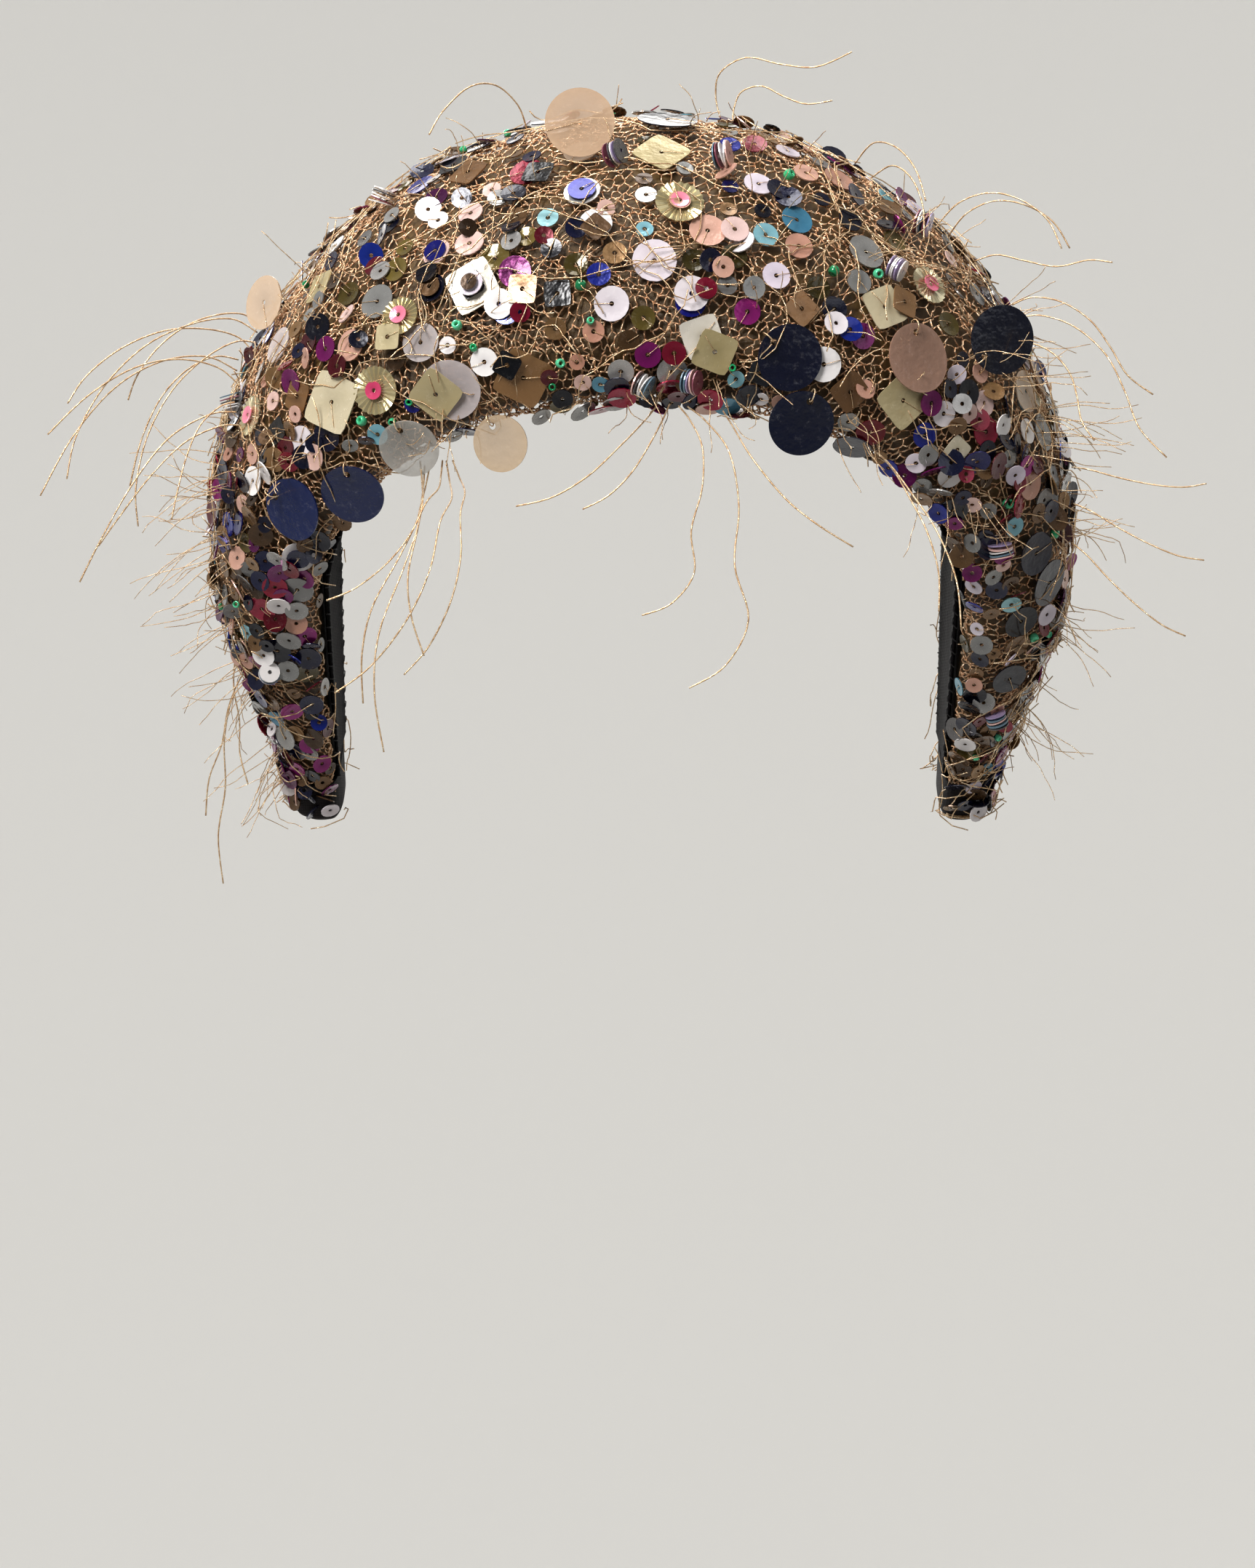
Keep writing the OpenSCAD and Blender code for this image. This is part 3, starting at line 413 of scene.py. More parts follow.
finishes = {
    "yarn": metallicYarn("copperYarn", rgb(184, 128, 92), rgb(236, 190, 148), rgb(255, 236, 206), 0.14),
    "gold": metallicYarn("goldThread", rgb(176, 134, 96), rgb(226, 190, 146), rgb(255, 240, 210), 0.12),
    "satin": fabric("bronzeSatin", rgb(36, 23, 8), rgb(118, 88, 38), 0.34, 1500.0, 0.05),
    "lining": fabric("darkRibbon", rgb(9, 8, 10), rgb(24, 21, 24), 0.85, 420.0, 0.03, 0.12),
    "binding": fabric("darkBinding", rgb(12, 10, 12), rgb(34, 28, 29), 0.8, 500.0, 0.05, 0.15),
    "darkThread": fabric("darkThread", rgb(12, 11, 14), rgb(30, 28, 32), 0.6, 3000.0, 0.1),
    "piping": fabric("satinPiping", rgb(30, 20, 8), rgb(92, 68, 32), 0.45, 1500.0, 0.05),
}

# ---- loose threads: routes in metres, each one starts where it leaves the cover ----
thread = {"diameter": 0.0004, "sides": 6, "steps": 6, "reference": np.array([0.3, 0.2, 0.93])}
routes = {
    "top_left": [(-27, 0, 34), (-29, -4, 39), (-34, -7, 43), (-40, -10, 42), (-46, -12, 36),
        (-49, -15, 30)],
    "top_curl": [(18, -5, 36), (17, -5, 41), (18, -7, 46), (24, -9, 49), (32, -11, 47),
        (40, -13, 46), (48, -15, 49)],
    "top_right": [(50, 4, 27), (54, 0, 31), (59, -5, 29), (63, -10, 23), (65, -14, 15)],
    "right_loop": [(69, 3, 12), (74, 0, 17), (81, -2, 19), (88, -4, 17), (94, -6, 12), (97, -8, 5)],
    "right_stray": [(78, 4, 4), (83, 1, 5), (89, -3, 3), (96, -7, 1), (103, -10, 2), (108, -13, 1)],
    "right_long": [(88, 10, -9), (94, 9, -8), (102, 7, -11), (109, 4, -18), (113, 1, -27),
        (116, -2, -36), (122, -4, -43)],
    "right_low": [(103, 16, -52), (107, 14, -54), (113, 12, -58), (120, 10, -62), (127, 9, -65),
        (133, 9, -66)],
    "left_far": [(-92, 17, -11), (-98, 15, -8), (-107, 10, -10), (-117, 4, -16), (-126, 0, -26),
        (-132, -3, -38), (-134, -4, -48)],
    "left_long": [(-97, 18, -20), (-104, 15, -17), (-114, 9, -19), (-124, 3, -26), (-133, -2, -38),
        (-140, -5, -52)],
    "left_low": [(-96, 8, -31), (-102, 5, -32), (-111, 1, -38), (-119, -2, -49), (-126, -4, -62),
        (-131, -4, -72)],
    "left_tip": [(-99, 49, -94), (-102, 49, -98), (-104, 50, -108), (-104, 52, -120),
        (-106, 54, -132), (-105, 56, -144)],
    "forehead_left": [(-50, -15, -46), (-50, -20, -51), (-50, -30, -57), (-50, -40, -62),
        (-53, -45, -72), (-58, -48, -86), (-59, -48, -99), (-57, -47, -112)],
    "forehead_fan": [(-45, -16, -45), (-44, -21, -50), (-43, -31, -55), (-45, -41, -61),
        (-47, -46, -72), (-52, -47, -83), (-60, -45, -93), (-68, -45, -99)],
    "forehead_short": [(3, -29, -34), (0, -33, -38), (-5, -41, -44), (-12, -45, -51),
        (-20, -47, -56), (-28, -47, -58)],
    "forehead_centre": [(10, -29, -34), (14, -35, -38), (19, -44, -46), (21, -46, -58),
        (20, -48, -71), (23, -49, -83), (18, -49, -93), (10, -49, -98)],
    "forehead_right": [(18, -29, -35), (20, -34, -39), (24, -43, -47), (31, -46, -56),
        (38, -48, -62), (46, -48, -67)],
    "inner_right": [(53, -19, -43), (56, -26, -47), (60, -34, -54), (65, -41, -63), (69, -44, -74),
        (70, -45, -85)],
}


def smoothRoute(route, steps):
    # a cubic through each point, whose slope there is half the step between its neighbours
    p = np.array(route, float) / 1000
    ends = np.concatenate([p[:1], p, p[-1:]])
    f = (np.arange(steps) / steps)[None, :, None]
    a, b, c, d = (ends[i:len(p) - 1 + i, None] for i in range(4))
    path = 0.5 * (2 * b + (c - a) * f + (2 * a - 5 * b + 4 * c - d) * f ** 2
                  + (3 * b - a - 3 * c + d) * f ** 3)
    return np.concatenate([path.reshape(-1, 3), p[-1:]])


def looseThread(name, path, *node):
    points, faces = tubes(path[None], thread["diameter"] / 2, thread["sides"], thread["reference"])
    piece = makePiece(name, points, faces, finishes["gold"])
    sewOn(piece, "loose_thread", *node)


for routeName, route in routes.items():
    looseThread("loose_" + routeName, smoothRoute(route, thread["steps"]), "thread_" + routeName)

# more strands of the same tufts: each follows its neighbour's route, turned and shortened
companions = [
    ("left_far", -14, 10, 0.9, (1.5, 2, -3)), ("left_far", 20, -8, 0.8, (-1, 3, -5)),
    ("left_far", 9, 4, 0.62, (0, 1, 2)), ("left_long", 14, -10, 0.85, (1, -2, -4)),
    ("left_long", -12, 14, 0.7, (0, 3, 3)), ("left_low", 10, 12, 0.8, (1, 2, -3)),
    ("left_low", -16, -6, 0.6, (0, -3, 2)), ("left_tip", 12, 8, 0.8, (2, 1, 4)),
    ("left_tip", -10, -8, 0.65, (-1, 2, 8)), ("forehead_left", 8, 3, 0.82, (1, -0.5, -1)),
    ("forehead_left", -9, -2, 0.7, (-1, -1, 1)), ("forehead_fan", -12, 2, 0.85, (1.5, -1, 0)),
    ("forehead_fan", 14, 1, 0.7, (-0.8, -1.2, 0)), ("forehead_centre", 10, 2, 0.75, (-2, -0.8, 0)),
    ("forehead_short", -14, 1, 0.8, (3, -0.6, 0.5)), ("right_long", -12, 8, 0.8, (0, 3, 4)),
    ("right_long", 12, -6, 0.62, (1, -2, -6)), ("right_low", -18, 6, 0.95, (0, 3, 9)),
    ("right_low", 16, 0, 1.05, (0, 4, -9)), ("top_right", 14, 10, 0.95, (4, 2, -3)),
    ("right_loop", -10, 14, 0.95, (3, 2, -2)), ("top_curl", 18, -10, 0.7, (3, 1, -0.6)),
    ("inner_right", 5, 3, 0.8, (2, -1, -2)),
]
for index, (source, turnX, turnZ, scale, shift) in enumerate(companions):
    path = smoothRoute(routes[source], thread["steps"])
    cx, sx = math.cos(math.radians(turnX)), math.sin(math.radians(turnX))
    cz, sz = math.cos(math.radians(turnZ)), math.sin(math.radians(turnZ))
    turnDown = np.array([[cx, 0, sx], [0, 1, 0], [-sx, 0, cx]])
    turnIn = np.array([[1, 0, 0], [0, cz, -sz], [0, sz, cz]])
    path = path[0] + np.array(shift) / 1000 + (path - path[0]) @ turnDown.T @ turnIn.T * scale
    looseThread(f"strand_{index:02d}", path)
print("loose threads:", len(routes) + len(companions))

# ---- the padded cushion under the net: bronze satin, let swell by a short cloth simulation ----
cushion = {"inset": 0.0017, "floor": 0.0009, "end": 0.0035, "along": 150, "around": 48,
           "swell": 0.0009, "capLen": 0.004}


def cushionGrid():
    # closed rings along the band; the last rings shrink to a point by a quarter circle
    body = np.linspace(-1, 1, cushion["along"]) * (halfLen - cushion["end"] - cushion["capLen"])
    capTurn = np.radians([20, 42, 62, 78, 88])
    reach = cushion["capLen"] * np.sin(capTurn)
    t = np.concatenate([(body[0] - reach)[::-1], body, body[-1] + reach])
    shrink = np.concatenate([np.cos(capTurn)[::-1], np.ones(len(body)), np.cos(capTurn)])
    a = np.arange(cushion["around"]) * 360 / cushion["around"]
    rings = layerPoint(t[:, None], a[None], cushion["inset"], cushion["floor"])
    middle = rings.mean(axis=1, keepdims=True)
    return middle + (rings - middle) * shrink[:, None, None]


def ringFaces(rows, columns):
    number = np.arange(rows * columns).reshape(rows, columns)
    side = np.roll(number, -1, axis=1)
    walls = np.stack([number[:-1], number[1:], side[1:], side[:-1]], -1).reshape(-1, 4)
    return walls, number


grid = cushionGrid()
walls, number = ringFaces(*grid.shape[:2])
ends = grid[[0, -1]].mean(axis=1)
first, last = grid.shape[0] * grid.shape[1], grid.shape[0] * grid.shape[1] + 1
sideOn = np.roll(number, -1, axis=1)
fans = np.concatenate([
    np.stack([number[0], sideOn[0], np.full(len(number[0]), first)], -1),
    np.stack([number[-1], np.full(len(number[0]), last), sideOn[-1]], -1)])
pad = makePiece("satin_cushion", np.concatenate([grid.reshape(-1, 3), ends]), [walls, fans],
                finishes["satin"])
# stitches hold the satin where sequins are sewn, so it swells between them
rest = np.concatenate([grid.reshape(-1, 3), ends])
held = rng.random(len(rest)) < 0.09
underneath = np.tile(np.arange(cushion["around"]) * 360 / cushion["around"] > 200, len(grid))
held[:len(underneath)] |= underneath
group = pad.vertex_groups.new(name="held")
group.add([int(i) for i in np.nonzero(held)[0]], 1.0, "REPLACE")
cloth = pad.modifiers.new("swelling", "CLOTH")
cloth.settings.quality = 4
cloth.settings.use_pressure = True
cloth.settings.uniform_pressure_force = 4.0
cloth.settings.effector_weights.gravity = 0
cloth.settings.vertex_group_mass = "held"
cloth.point_cache.frame_start, cloth.point_cache.frame_end = 1, 20
for step in range(1, 21):
    bpy.context.scene.frame_set(step)
swollen = pad.evaluated_get(bpy.context.evaluated_depsgraph_get()).to_mesh()
moved = np.empty(len(rest) * 3, np.float32)
swollen.vertices.foreach_get("co", moved)
shift = moved.reshape(-1, 3) - rest
size = np.linalg.norm(shift, axis=1, keepdims=True)
shift *= np.minimum(1, cushion["swell"] / np.maximum(size, 1e-9))
pad.modifiers.remove(cloth)
bpy.context.scene.frame_set(1)
pad.data.vertices.foreach_set("co", (rest + shift).astype(np.float32).ravel())
pad.data.update()
print("cushion swollen, most", round(float(size.max()) * 1000, 1), "mm before the cap")
smoothing = pad.modifiers.new("smoothing", "SUBSURF")
smoothing.levels = smoothing.render_levels = 1
sewOn(pad, "satin", "satin_cover", "foam_pad", "wadding_layer")

# ---- the net: an uneven honeycomb of twisted metallic yarn ----
net = {"side": 0.00130, "stretch": 0.80, "jitter": 0.00036, "sag": 0.0002, "lift": (-0.0009, 0.0000),
       "radius": (0.00016, 0.00030), "missing": 0.03, "end": 0.003, "sides": 3}


def netStrands():
    # honeycomb corners on a brick lattice: rows are 1.5 sides apart and every corner is a quarter
    # side up or down; the corners are then pushed about, and the whole net drifts in slow waves
    stepT, stepV = net["side"] * math.cos(math.pi / 6) * net["stretch"], 1.5 * net["side"]
    columns, rows = int(2 * (halfLen - net["end"]) / stepT), 96
    i, j = np.meshgrid(np.arange(columns), np.arange(rows), indexing="ij")
    t = (i - columns / 2) * stepT
    v = (j - rows / 2) * stepV + np.where((i + j) % 2 == 0, 0.25, -0.25) * net["side"]
    drift = 0.0011 * (np.sin(t * 190 + v * 300) + np.sin(t * 83 - v * 210 + 2))
    t = t + rng.normal(0, net["jitter"], t.shape) + 0.6 * drift
    v = v + rng.normal(0, net["jitter"], t.shape) + drift
    t = np.clip(t, -halfLen + net["end"], halfLen - net["end"])
    a, inside = acrossAt(t, v)
    point, normal = coverFrame(t, a)[:2]
    lift = rng.uniform(*net["lift"], t.shape)
    point = point + lift[..., None] * normal
    upright = (i[:, :-1] + j[:, :-1]) % 2 == 0
    starts = np.concatenate([point[:-1].reshape(-1, 3), point[:, :-1][upright]])
    stops = np.concatenate([point[1:].reshape(-1, 3), point[:, 1:][upright]])
    normals = np.concatenate([normal[:-1].reshape(-1, 3), normal[:, :-1][upright]])
    kept = np.concatenate([(inside[:-1] & inside[1:]).ravel(),
                           (inside[:, :-1] & inside[:, 1:])[upright]])
    place = np.concatenate([t[:-1].ravel(), t[:, :-1][upright]])
    kept &= rng.random(len(kept)) > net["missing"]
    starts, stops, normals, place = starts[kept], stops[kept], normals[kept], place[kept]
    offset = rng.normal(0, net["sag"], starts.shape)
    middle = (starts + stops) / 2 + offset - (offset * normals).sum(-1, keepdims=True) * normals
    middle = middle + np.abs(rng.normal(0, net["sag"], (len(starts), 1))) * normals
    return np.stack([starts, middle, stops], 1), normals, place


strands, strandNormals, strandPlace = netStrands()
thirds = {"net_left": strandPlace < -0.07, "net_centre": np.abs(strandPlace) <= 0.07,
          "net_right": strandPlace > 0.07}
for netName, chosen in thirds.items():
    radius = rng.uniform(*net["radius"], (chosen.sum(), 1)) * rng.uniform(0.8, 1.2, (chosen.sum(), 3))
    points, faces = tubes(strands[chosen], radius, net["sides"], strandNormals[chosen][:, None])
    piece = makePiece(netName, points, faces, finishes["yarn"])
    sewOn(piece, "net_yarn", "net_cover")
print("net strands:", len(strands))

# ---- gold strands that wander over the net ----
wander = {"count": 230, "steps": 20, "length": (0.018, 0.075), "radius": 0.00018, "curl": 0.34,
          "end": 0.004}


def wanderers(count, steps, length):
    # a heading that turns a little at every step, walked over the cover in even steps
    t = rng.uniform(-halfLen, halfLen, count)
    a0 = rng.uniform(0, 175, count)
    heading = rng.uniform(0, 2 * np.pi, count)[:, None] + np.cumsum(
        rng.normal(0, wander["curl"], (count, steps)), axis=1)
    step = (rng.uniform(*length, count) / steps)[:, None]
    reach = halfLen - wander["end"]
    allT = np.clip(t[:, None] + np.cumsum(step * np.cos(heading), 1) * 0.8, -reach, reach)
    v0 = (a0 / 180 - 0.5)[:, None] * (widthAt(t)[:, None] + 0.5 * heightAt(t)[:, None])
    a = acrossAt(allT, v0 + np.cumsum(step * np.sin(heading), 1))[0]
    point, normal = coverFrame(allT, a)[:2]
    wave = rng.uniform(0.0009, 0.0022, (count, 1)) + 0.0007 * np.sin(
        np.linspace(0, 9, steps)[None] + rng.uniform(0, 6, (count, 1)))
    ends = 0.003 * np.abs(np.linspace(-1, 1, steps)[None]) ** 6 * rng.uniform(0, 1, (count, 1))
    return point + (wave + ends)[..., None] * normal, normal


paths, normals = wanderers(wander["count"], wander["steps"], wander["length"])
points, faces = tubes(paths, wander["radius"], 3, normals)
laid = makePiece("laid_strands", points, faces, finishes["gold"])
sewOn(laid, "loose_thread")
print("laid strands:", wander["count"])

# ---- short fringe: [along in mm, across in degrees, how many, longest in mm, leaning (x, y, z)] ----
fringeTufts = [
    (-100, 70, 16, 24, (-0.9, -0.5, -0.2)), (-112, 60, 14, 26, (-0.9, -0.4, -0.6)),
    (-128, 60, 12, 24, (-0.8, -0.3, -0.8)), (-150, 60, 14, 26, (-0.5, -0.2, -1)),
    (-175, 60, 16, 27, (-0.2, -0.1, -1)), (-60, 88, 9, 16, (-0.5, -0.3, 0.6)),
    (-25, 88, 9, 15, (-0.3, -0.3, 0.7)), (20, 90, 10, 16, (0.4, -0.3, 0.7)),
    (45, 88, 14, 20, (0.8, -0.3, 0.4)), (70, 84, 18, 24, (1, -0.3, 0.2)),
    (88, 76, 14, 24, (1, -0.3, -0.1)), (105, 66, 12, 24, (0.9, -0.3, -0.4)),
    (130, 60, 12, 22, (0.7, -0.2, -0.7)), (160, 60, 14, 24, (0.4, -0.1, -1)),
    (-50, 6, 9, 22, (0.1, -0.8, -0.8)), (0, 2, 9, 18, (0.1, -0.9, -0.6)),
    (20, 2, 9, 20, (0.2, -0.9, -0.7)), (52, 4, 9, 20, (0.3, -0.7, -0.9)),
    (85, 12, 10, 20, (-0.1, -0.8, -0.8)), (30, 60, 10, 18, (0.3, -0.8, 0.3)),
    (-80, 40, 12, 20, (-0.3, -0.8, -0.4)),
]


def fringe():
    # each hair starts on the cover, leaves along its normal and bends to a leaning direction
    rows = []
    for along, across, many, longest, lean in fringeTufts:
        for _ in range(many):
            rows.append((along + rng.normal(0, 4), across + rng.normal(0, 9),
                         longest * rng.uniform(0.45, 1), *lean))
    for _ in range(150):                          # and a scatter of very short ones all over
        rows.append((rng.uniform(-188, 188), rng.uniform(5, 175), rng.uniform(5, 12), 0, -0.2, 0.2))
    data = np.array(rows)
    point, normal, along, around = coverFrame(data[:, 0] / 1000, data[:, 1])
    steps = 11
    turn = rng.normal(0, 0.33, (len(data), steps, 3)).cumsum(axis=1)
    share = np.linspace(0, 1, steps)[None, :, None]
    lean = unit(data[:, 3:6] + rng.normal(0, 0.35, (len(data), 3)))[:, None]
    leaving = normal[:, None] * (1 - share) ** 2 * 0.9
    heading = unit(leaving + lean * (0.25 + share) + 0.55 * turn * share)
    step = data[:, 2] / 1000 / (steps - 1)
    stride = heading * step[:, None, None]
    path = point[:, None] + np.cumsum(stride, axis=1) - stride[:, :1]
    return path, np.array([0.2, 0.3, 0.9])


paths, reference = fringe()
taper = np.linspace(1, 0.7, paths.shape[1])[None] * 0.00015
points, faces = tubes(paths, taper, 3, reference)
hairs = makePiece("fringe_hairs", points, faces, finishes["gold"])
sewOn(hairs, "loose_thread")
print("fringe hairs:", len(paths))

# ---- sequins: found in the frame, made again with dished faces, bevels and colour ----


def islands(node):
    # vertices at one place are merged, and the lowest label spreads over each solid's faces
    mesh = frame["nodes"][node].data
    co = np.empty(len(mesh.vertices) * 3, np.float32)
    mesh.vertices.foreach_get("co", co)
    mesh.calc_loop_triangles()
    tri = np.empty(len(mesh.loop_triangles) * 3, np.int32)
    mesh.loop_triangles.foreach_get("vertices", tri)
    microns = np.round(co.reshape(-1, 3) * 1e6).astype(np.int64)
    key, inverse = np.unique(microns, axis=0, return_inverse=True)
    tri = inverse.ravel()[tri].reshape(-1, 3)
    label = np.arange(len(key))
    while True:
        low = label[tri].min(axis=1)
        spread = label.copy()
        np.minimum.at(spread, tri.ravel(), np.repeat(low, 3))
        spread = spread[spread]
        if (spread == label).all():
            break
        label = spread
    return [key[label == one] / 1e6 for one in np.unique(label)]


# a net of places on the cover, to tell which way is out at each sequin
surfaceT = np.linspace(-halfLen, halfLen, 360)[:, None]
surfaceA = np.linspace(-60, 240, 76)[None]
surfaceT, surfaceA = np.broadcast_arrays(surfaceT, surfaceA)
surfaceP, surfaceN = (part.reshape(-1, 3) for part in coverFrame(surfaceT, surfaceA)[:2])


def measured(node):
    # centre, outward normal, direction to the farthest rim point, radius and nearest place on the
    # cover, for each separate solid of a node
    rows = []
    for points in islands(node):
        middle = (points.max(0) + points.min(0)) / 2
        spread = points - points.mean(0)
        directions = np.linalg.svd(spread, full_matrices=False)[2]
        extents = [np.ptp(spread @ d) for d in directions]
        normal = directions[int(np.argmin(extents))]
        near = np.argmin(((surfaceP - middle) ** 2).sum(1))
        if normal @ surfaceN[near] < 0:
            normal = -normal
        middles = [(np.max(spread @ d) + np.min(spread @ d)) / 2 for d in directions]
        centre = points.mean(0) + np.array(middles) @ directions
        away = points - centre
        away = away - np.outer(away @ normal, normal)
        farthest = unit(away[np.argmax((away ** 2).sum(1))])
        rows.append((centre, normal, farthest, np.sqrt((away ** 2).sum(1).max()), near))
    return [np.array(column) for column in zip(*rows)]


sequin = {"hole": 0.00055, "thickness": 0.0003, "flutes": 22, "fluteHeight": 0.00022, "tilt": 0.05}


def turnedSet(name, node, material, slotName, segments=18, dish=0.0, shape=None, sink=0.0):
    # the profile runs from the rim to the hole: a square's rim is a superellipse, and a fluted
    # one is a cosine round the rim
    centre, normal, farthest, radius, near = measured(node)
    count = len(centre)
    axis = unit(farthest - (farthest * normal).sum(-1, keepdims=True) * normal)
    if shape == "square":                         # the corner is 45 degrees from the sides
        side = np.cross(normal, axis)
        axis = unit(axis + side)
        radius = radius / 1.30
    turn = np.arange(segments) * 2 * np.pi / segments
    outline = np.ones((1, 5, segments))
    if shape == "square":
        edge = 1 / (np.abs(np.cos(turn)) ** 9 + np.abs(np.sin(turn)) ** 9) ** (1 / 9)
        outline = np.stack([edge, edge, edge ** 0.5, np.ones(segments), np.ones(segments)])[None]
    bend = dish * radius
    half = sequin["thickness"] / 2
    hole = np.full(count, sequin["hole"])
    radii = np.stack([radius, radius, radius * 0.6, hole, hole], 1)
    heights = np.stack([bend - half, bend + half * 0.8, bend * 0.36 + half,
                        np.full(count, half), np.full(count, -half)], 1)
    if shape == "fluted":
        wave = np.cos(turn * sequin["flutes"])
        ridge = np.array([1, 1, 0.75, 0, 0])[None, :, None] * sequin["fluteHeight"]
        heights = heights[:, :, None] + ridge * wave
        outline = outline + 0.02 * wave * np.array([1, 1, 0, 0, 0])[None, :, None]
    tilt = rng.normal(0, sequin["tilt"], centre.shape)
    normal = unit(normal + tilt)
    axis = unit(axis - (axis * normal).sum(-1, keepdims=True) * normal)
    points, faces = discs(centre - sink * normal, normal, axis, radii, heights, outline)
    tint = np.repeat(rng.random(count), 5 * segments)
    radial = np.tile(np.repeat([1.0, 1.0, 0.6, 0.1, 0.1], segments), count)
    piece = makePiece(name, points, [faces], material, False, {"tint": tint, "radial": radial})
    sewOn(piece, slotName, node)
    return centre, normal, radius


# the tones run from dark to pale, then how metallic and how rough the face is
sequinKinds = {
    "white": ([rgb(196, 184, 200), rgb(226, 220, 220), rgb(240, 237, 235)], 0.0, 0.24),
    "blush": ([rgb(176, 126, 104), rgb(206, 162, 144), rgb(220, 190, 184)], 0.15, 0.25),
    "royal_blue": ([rgb(8, 10, 72), rgb(14, 18, 116), rgb(22, 44, 138)], 0.35, 0.2),
    "navy": ([rgb(4, 5, 16), rgb(10, 12, 34), rgb(18, 22, 54)], 0.3, 0.2),
    "magenta": ([rgb(62, 6, 58), rgb(110, 10, 88), rgb(142, 30, 112)], 0.5, 0.22),
    "crimson": ([rgb(56, 3, 14), rgb(104, 8, 30), rgb(150, 22, 56)], 0.5, 0.22),
    "aqua": ([rgb(58, 116, 146), rgb(108, 166, 184), rgb(150, 196, 202)], 0.25, 0.2),
    "silver": ([rgb(104, 102, 102), rgb(136, 136, 134), rgb(172, 170, 168)], 0.45, 0.26),
    "bronze": ([rgb(50, 34, 20), rgb(102, 74, 46), rgb(146, 112, 74)], 0.55, 0.26),
}
sewn = []                                        # centre, normal and radius of every set
for kind, (tones, metallic, rough) in sequinKinds.items():
    finish = sequinFinish(kind + "Sequin", tones, metallic, rough)
    sewn.append(turnedSet(f"{kind}_sequin_set", f"{kind}_sequins", finish, f"{kind}_sequin", dish=0.05))
paleGold = [rgb(190, 174, 128), rgb(216, 204, 164), rgb(232, 224, 198)]
fluted = turnedSet("fluted_set", "fluted_sequins", sequinFinish("paleGoldFluted", paleGold, 0.7, 0.2),
                   "fluted_gold", 88, 0.06, shape="fluted")
sewn.append(fluted)


def thinDiscs(name, centre, normal, axis, radii, heights, segments, material):
    # small discs with a plain profile of four points, each with a tint of its own
    count = len(centre)
    points, faces = discs(centre, normal, axis, radii, heights, np.ones((1, 4, segments)))
    tint = np.repeat(rng.random(count), 4 * segments)
    radial = np.tile(np.repeat([1.0, 1.0, 0.1, 0.1], segments), count)
    return makePiece(name, points, [faces], material, False, {"tint": tint, "radial": radial})


# a rose sequin sits in the middle of each fluted one
rose = {"radius": 0.0021, "hole": 0.0005, "heights": [0.00105, 0.0013, 0.0010, 0.00075], "segments": 20}
roseTones = [rgb(206, 60, 104), rgb(232, 104, 140), rgb(240, 150, 170)]
count = len(fluted[0])
radii = np.tile([rose["radius"], rose["radius"], rose["hole"], rose["hole"]], (count, 1))
heights = np.tile(rose["heights"], (count, 1))
axis = unit(np.cross(fluted[1], [0.2, 0.9, 0.4]))
centres = thinDiscs("rose_centres", fluted[0], fluted[1], axis, radii, heights, rose["segments"],
                    sequinFinish("roseCentre", roseTones, 0.2, 0.2))
sewOn(centres, "blush_sequin")
squares = {
    "gold": ([rgb(166, 150, 104), rgb(206, 194, 164), rgb(234, 229, 220)], 0.2, 0.24, "gold_square"),
    "bronze": ([rgb(82, 58, 34), rgb(120, 86, 54), rgb(150, 112, 72)], 0.4, 0.26, "bronze_square"),
    "black": ([rgb(3, 3, 6), rgb(7, 8, 14), rgb(14, 16, 26)], 0.1, 0.16, "black_square"),
}
for kind, (tones, metallic, rough, slotName) in squares.items():
    finish = sequinFinish(kind + "Square", tones, metallic, rough)
    sewn.append(turnedSet(f"{kind}_square_set", f"{kind}_squares", finish, slotName, 32, 0.03,
                          shape="square"))
oliveGlass = sequinFinish("oliveCup", [rgb(44, 38, 14), rgb(78, 66, 28), rgb(112, 96, 46)], 0.3, 0.14)
sewn.append(turnedSet("olive_cup_set", "olive_cups", oliveGlass, "olive_cup", 18, 0.16, sink=0.0008))
sheer = {
    "clear": ([rgb(186, 178, 176), rgb(206, 196, 196), rgb(220, 212, 210)], 0.5, "clear_disc"),
    "peach": ([rgb(196, 164, 134), rgb(210, 182, 152), rgb(218, 194, 168)], 0.6, "peach_disc"),
    "dark": ([rgb(20, 22, 32), rgb(30, 32, 44), rgb(44, 46, 58)], 1.0, "dark_disc"),
}
for kind, (tones, alpha, slotName) in sheer.items():
    finish = sequinFinish(kind + "Disc", tones, 0.0, 0.16, alpha)
    sewn.append(turnedSet(f"{kind}_disc_set", f"{kind}_discs", finish, slotName, 40, 0.02))
print("sequins made again:", sum(len(one[0]) for one in sewn))

# fillers: small sequins that crowd the sides, the edges and the legs, stitched at a slant
filler = {"count": 620, "radius": (0.0019, 0.0033), "lift": (0.0006, 0.0016), "slant": 0.315,
          "segments": 14, "clear": 0.0030, "big": 0.0042, "hole": 0.0005, "half": 0.00014,
          "tries": 7, "reach": 0.975, "across": (-14, 150), "crown": 0.06, "crownShare": 0.22}
fillerKinds = {"navy": 0.25, "crimson": 0.12, "magenta": 0.11, "silver": 0.12, "bronze": 0.17,
               "blush": 0.08, "white": 0.07, "royal_blue": 0.08}
reachOf = np.concatenate([one[2] for one in sewn])
reachOf = np.where(reachOf > filler["big"], reachOf + filler["radius"][1], filler["clear"])
hanging = [measured(n) for n in frame["nodes"] if n.startswith("paillette_") and n != "paillette_loops"]
made = np.concatenate([one[0] for one in sewn + hanging])
reachOf = np.concatenate([reachOf] + [one[3] + filler["radius"][1] for one in hanging])


